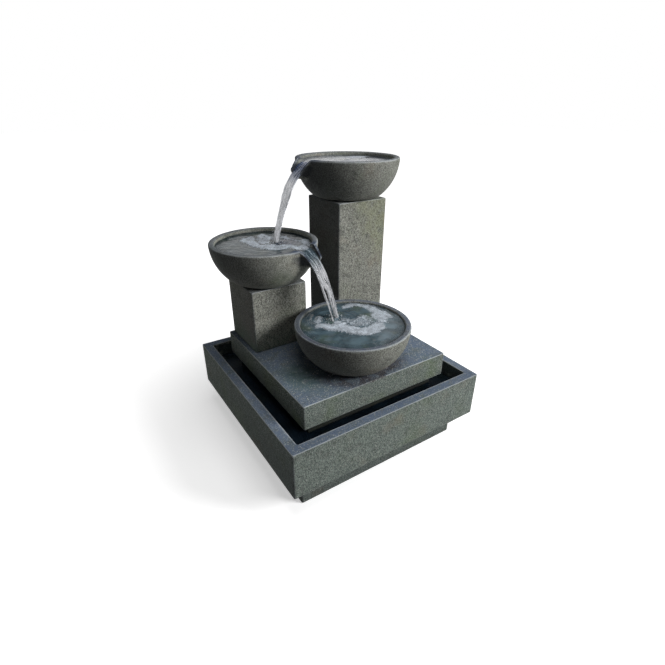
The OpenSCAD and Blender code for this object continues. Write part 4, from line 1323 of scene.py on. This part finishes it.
class FOUNTAIN_OT_stage(Operator):
    """Set the camera, the lamps, the pale floor and the white surroundings"""
    bl_idname = "fountain.stage"
    bl_label = "Stage"

    def execute(self, context):
        stage = context.scene.fountain_stage
        yaw, pitch, roll = (math.radians(a) for a in stage.turn)
        yaw, pitch, roll = (Matrix.Rotation(turn, 3, axis)
            for turn, axis in ((yaw, "Z"), (math.pi / 2 - pitch, "X"), (roll, "Z")))
        settle()
        bpy.ops.object.camera_add(location=stage.place, rotation=(yaw @ pitch @ roll).to_euler())
        context.scene.camera = context.object
        camera = context.object.data
        camera.lens, camera.sensor_width, camera.clip_start = stage.lens, 36, 0.02
        for name, (spot, size) in LAMPS.items():
            facing = (Vector(spot) - TARGET).to_track_quat("Z", "Y")
            bpy.ops.object.light_add(type="AREA", location=spot, rotation=facing.to_euler())
            context.object.name = name + "_lamp"
            lamp = context.object.data
            lamp.shape, lamp.size, lamp.energy = "DISK", size, getattr(stage, name)
        bpy.ops.mesh.primitive_plane_add(size=FLOOR_WIDTH, location=(0, 0, FLOOR_HEIGHT))
        floor = named("floor")
        finish = Finish("pale floor", Roughness=0.9, Specular_IOR_Level=0.1, Emission_Strength=1.0)
        seen = finish.seen()
        far = finish.node("VectorMath", {"operation": "LENGTH"}, {0: finish.place()}, "Value").between(0.35, 1.3)
        glow = finish.mix(seen, (0, 0, 0), finish.mix(far, (0.50, 0.50, 0.50), (1, 1, 1)))
        dress(floor, finish.done(Base_Color=finish.mix(seen, scaled(stage.floor, 0.25), stage.floor),
            Emission_Color=glow))
        world = bpy.data.worlds.new("pale surroundings")
        context.scene.world = world
        world.use_nodes = True
        sky = Nodes(world.node_tree)
        ground = sky.tree.nodes["Background"].inputs
        sky.put(ground["Color"], (1, 1, 1))
        sky.put(ground["Strength"], sky.node("MapRange", {}, {"Value": sky.seen(), "To Min": stage.sky, "To Max": 1.0}))
        context.scene.view_settings.view_transform = "Standard"
        return {"FINISHED"}


GROUPS = (
    ("fountain_castings", CastingSizes),
    ("fountain_water", WaterSizes),
    ("fountain_finishes", Finishes),
    ("fountain_stage", StageSizes),
)
MAKERS = (FOUNTAIN_OT_stage, FOUNTAIN_OT_basin, FOUNTAIN_OT_deck, FOUNTAIN_OT_pedestals, FOUNTAIN_OT_bowls,
    FOUNTAIN_OT_pools, FOUNTAIN_OT_basin_water, FOUNTAIN_OT_falls, FOUNTAIN_OT_splashes, FOUNTAIN_OT_fittings)


class FOUNTAIN_PT_panel(Panel):
    """Buttons for each piece, in the order of the work"""
    bl_idname = "FOUNTAIN_PT_panel"
    bl_label = "Cascading Fountain"
    bl_space_type = "VIEW_3D"
    bl_region_type = "UI"
    bl_category = "Fountain"

    def draw(self, context):
        for maker in MAKERS:
            self.layout.operator(maker.bl_idname)
        for name, group in GROUPS:
            box = self.layout.box()
            box.label(text=group.__doc__)
            for key in group.__annotations__:
                box.prop(getattr(context.scene, name), key)


def register():
    for name, group in GROUPS:
        bpy.utils.register_class(group)
        setattr(bpy.types.Scene, name, PointerProperty(type=group))
    for maker in (*MAKERS, FOUNTAIN_PT_panel):
        bpy.utils.register_class(maker)


def unregister():
    for maker in reversed((*MAKERS, FOUNTAIN_PT_panel)):
        bpy.utils.unregister_class(maker)
    for name, group in reversed(GROUPS):
        delattr(bpy.types.Scene, name)
        bpy.utils.unregister_class(group)


def main():
    register()
    settle()
    for maker in MAKERS:
        family, action = maker.bl_idname.split(".")
        getattr(getattr(bpy.ops, family), action)()
    settle()


if __name__ == "__main__":
    main()
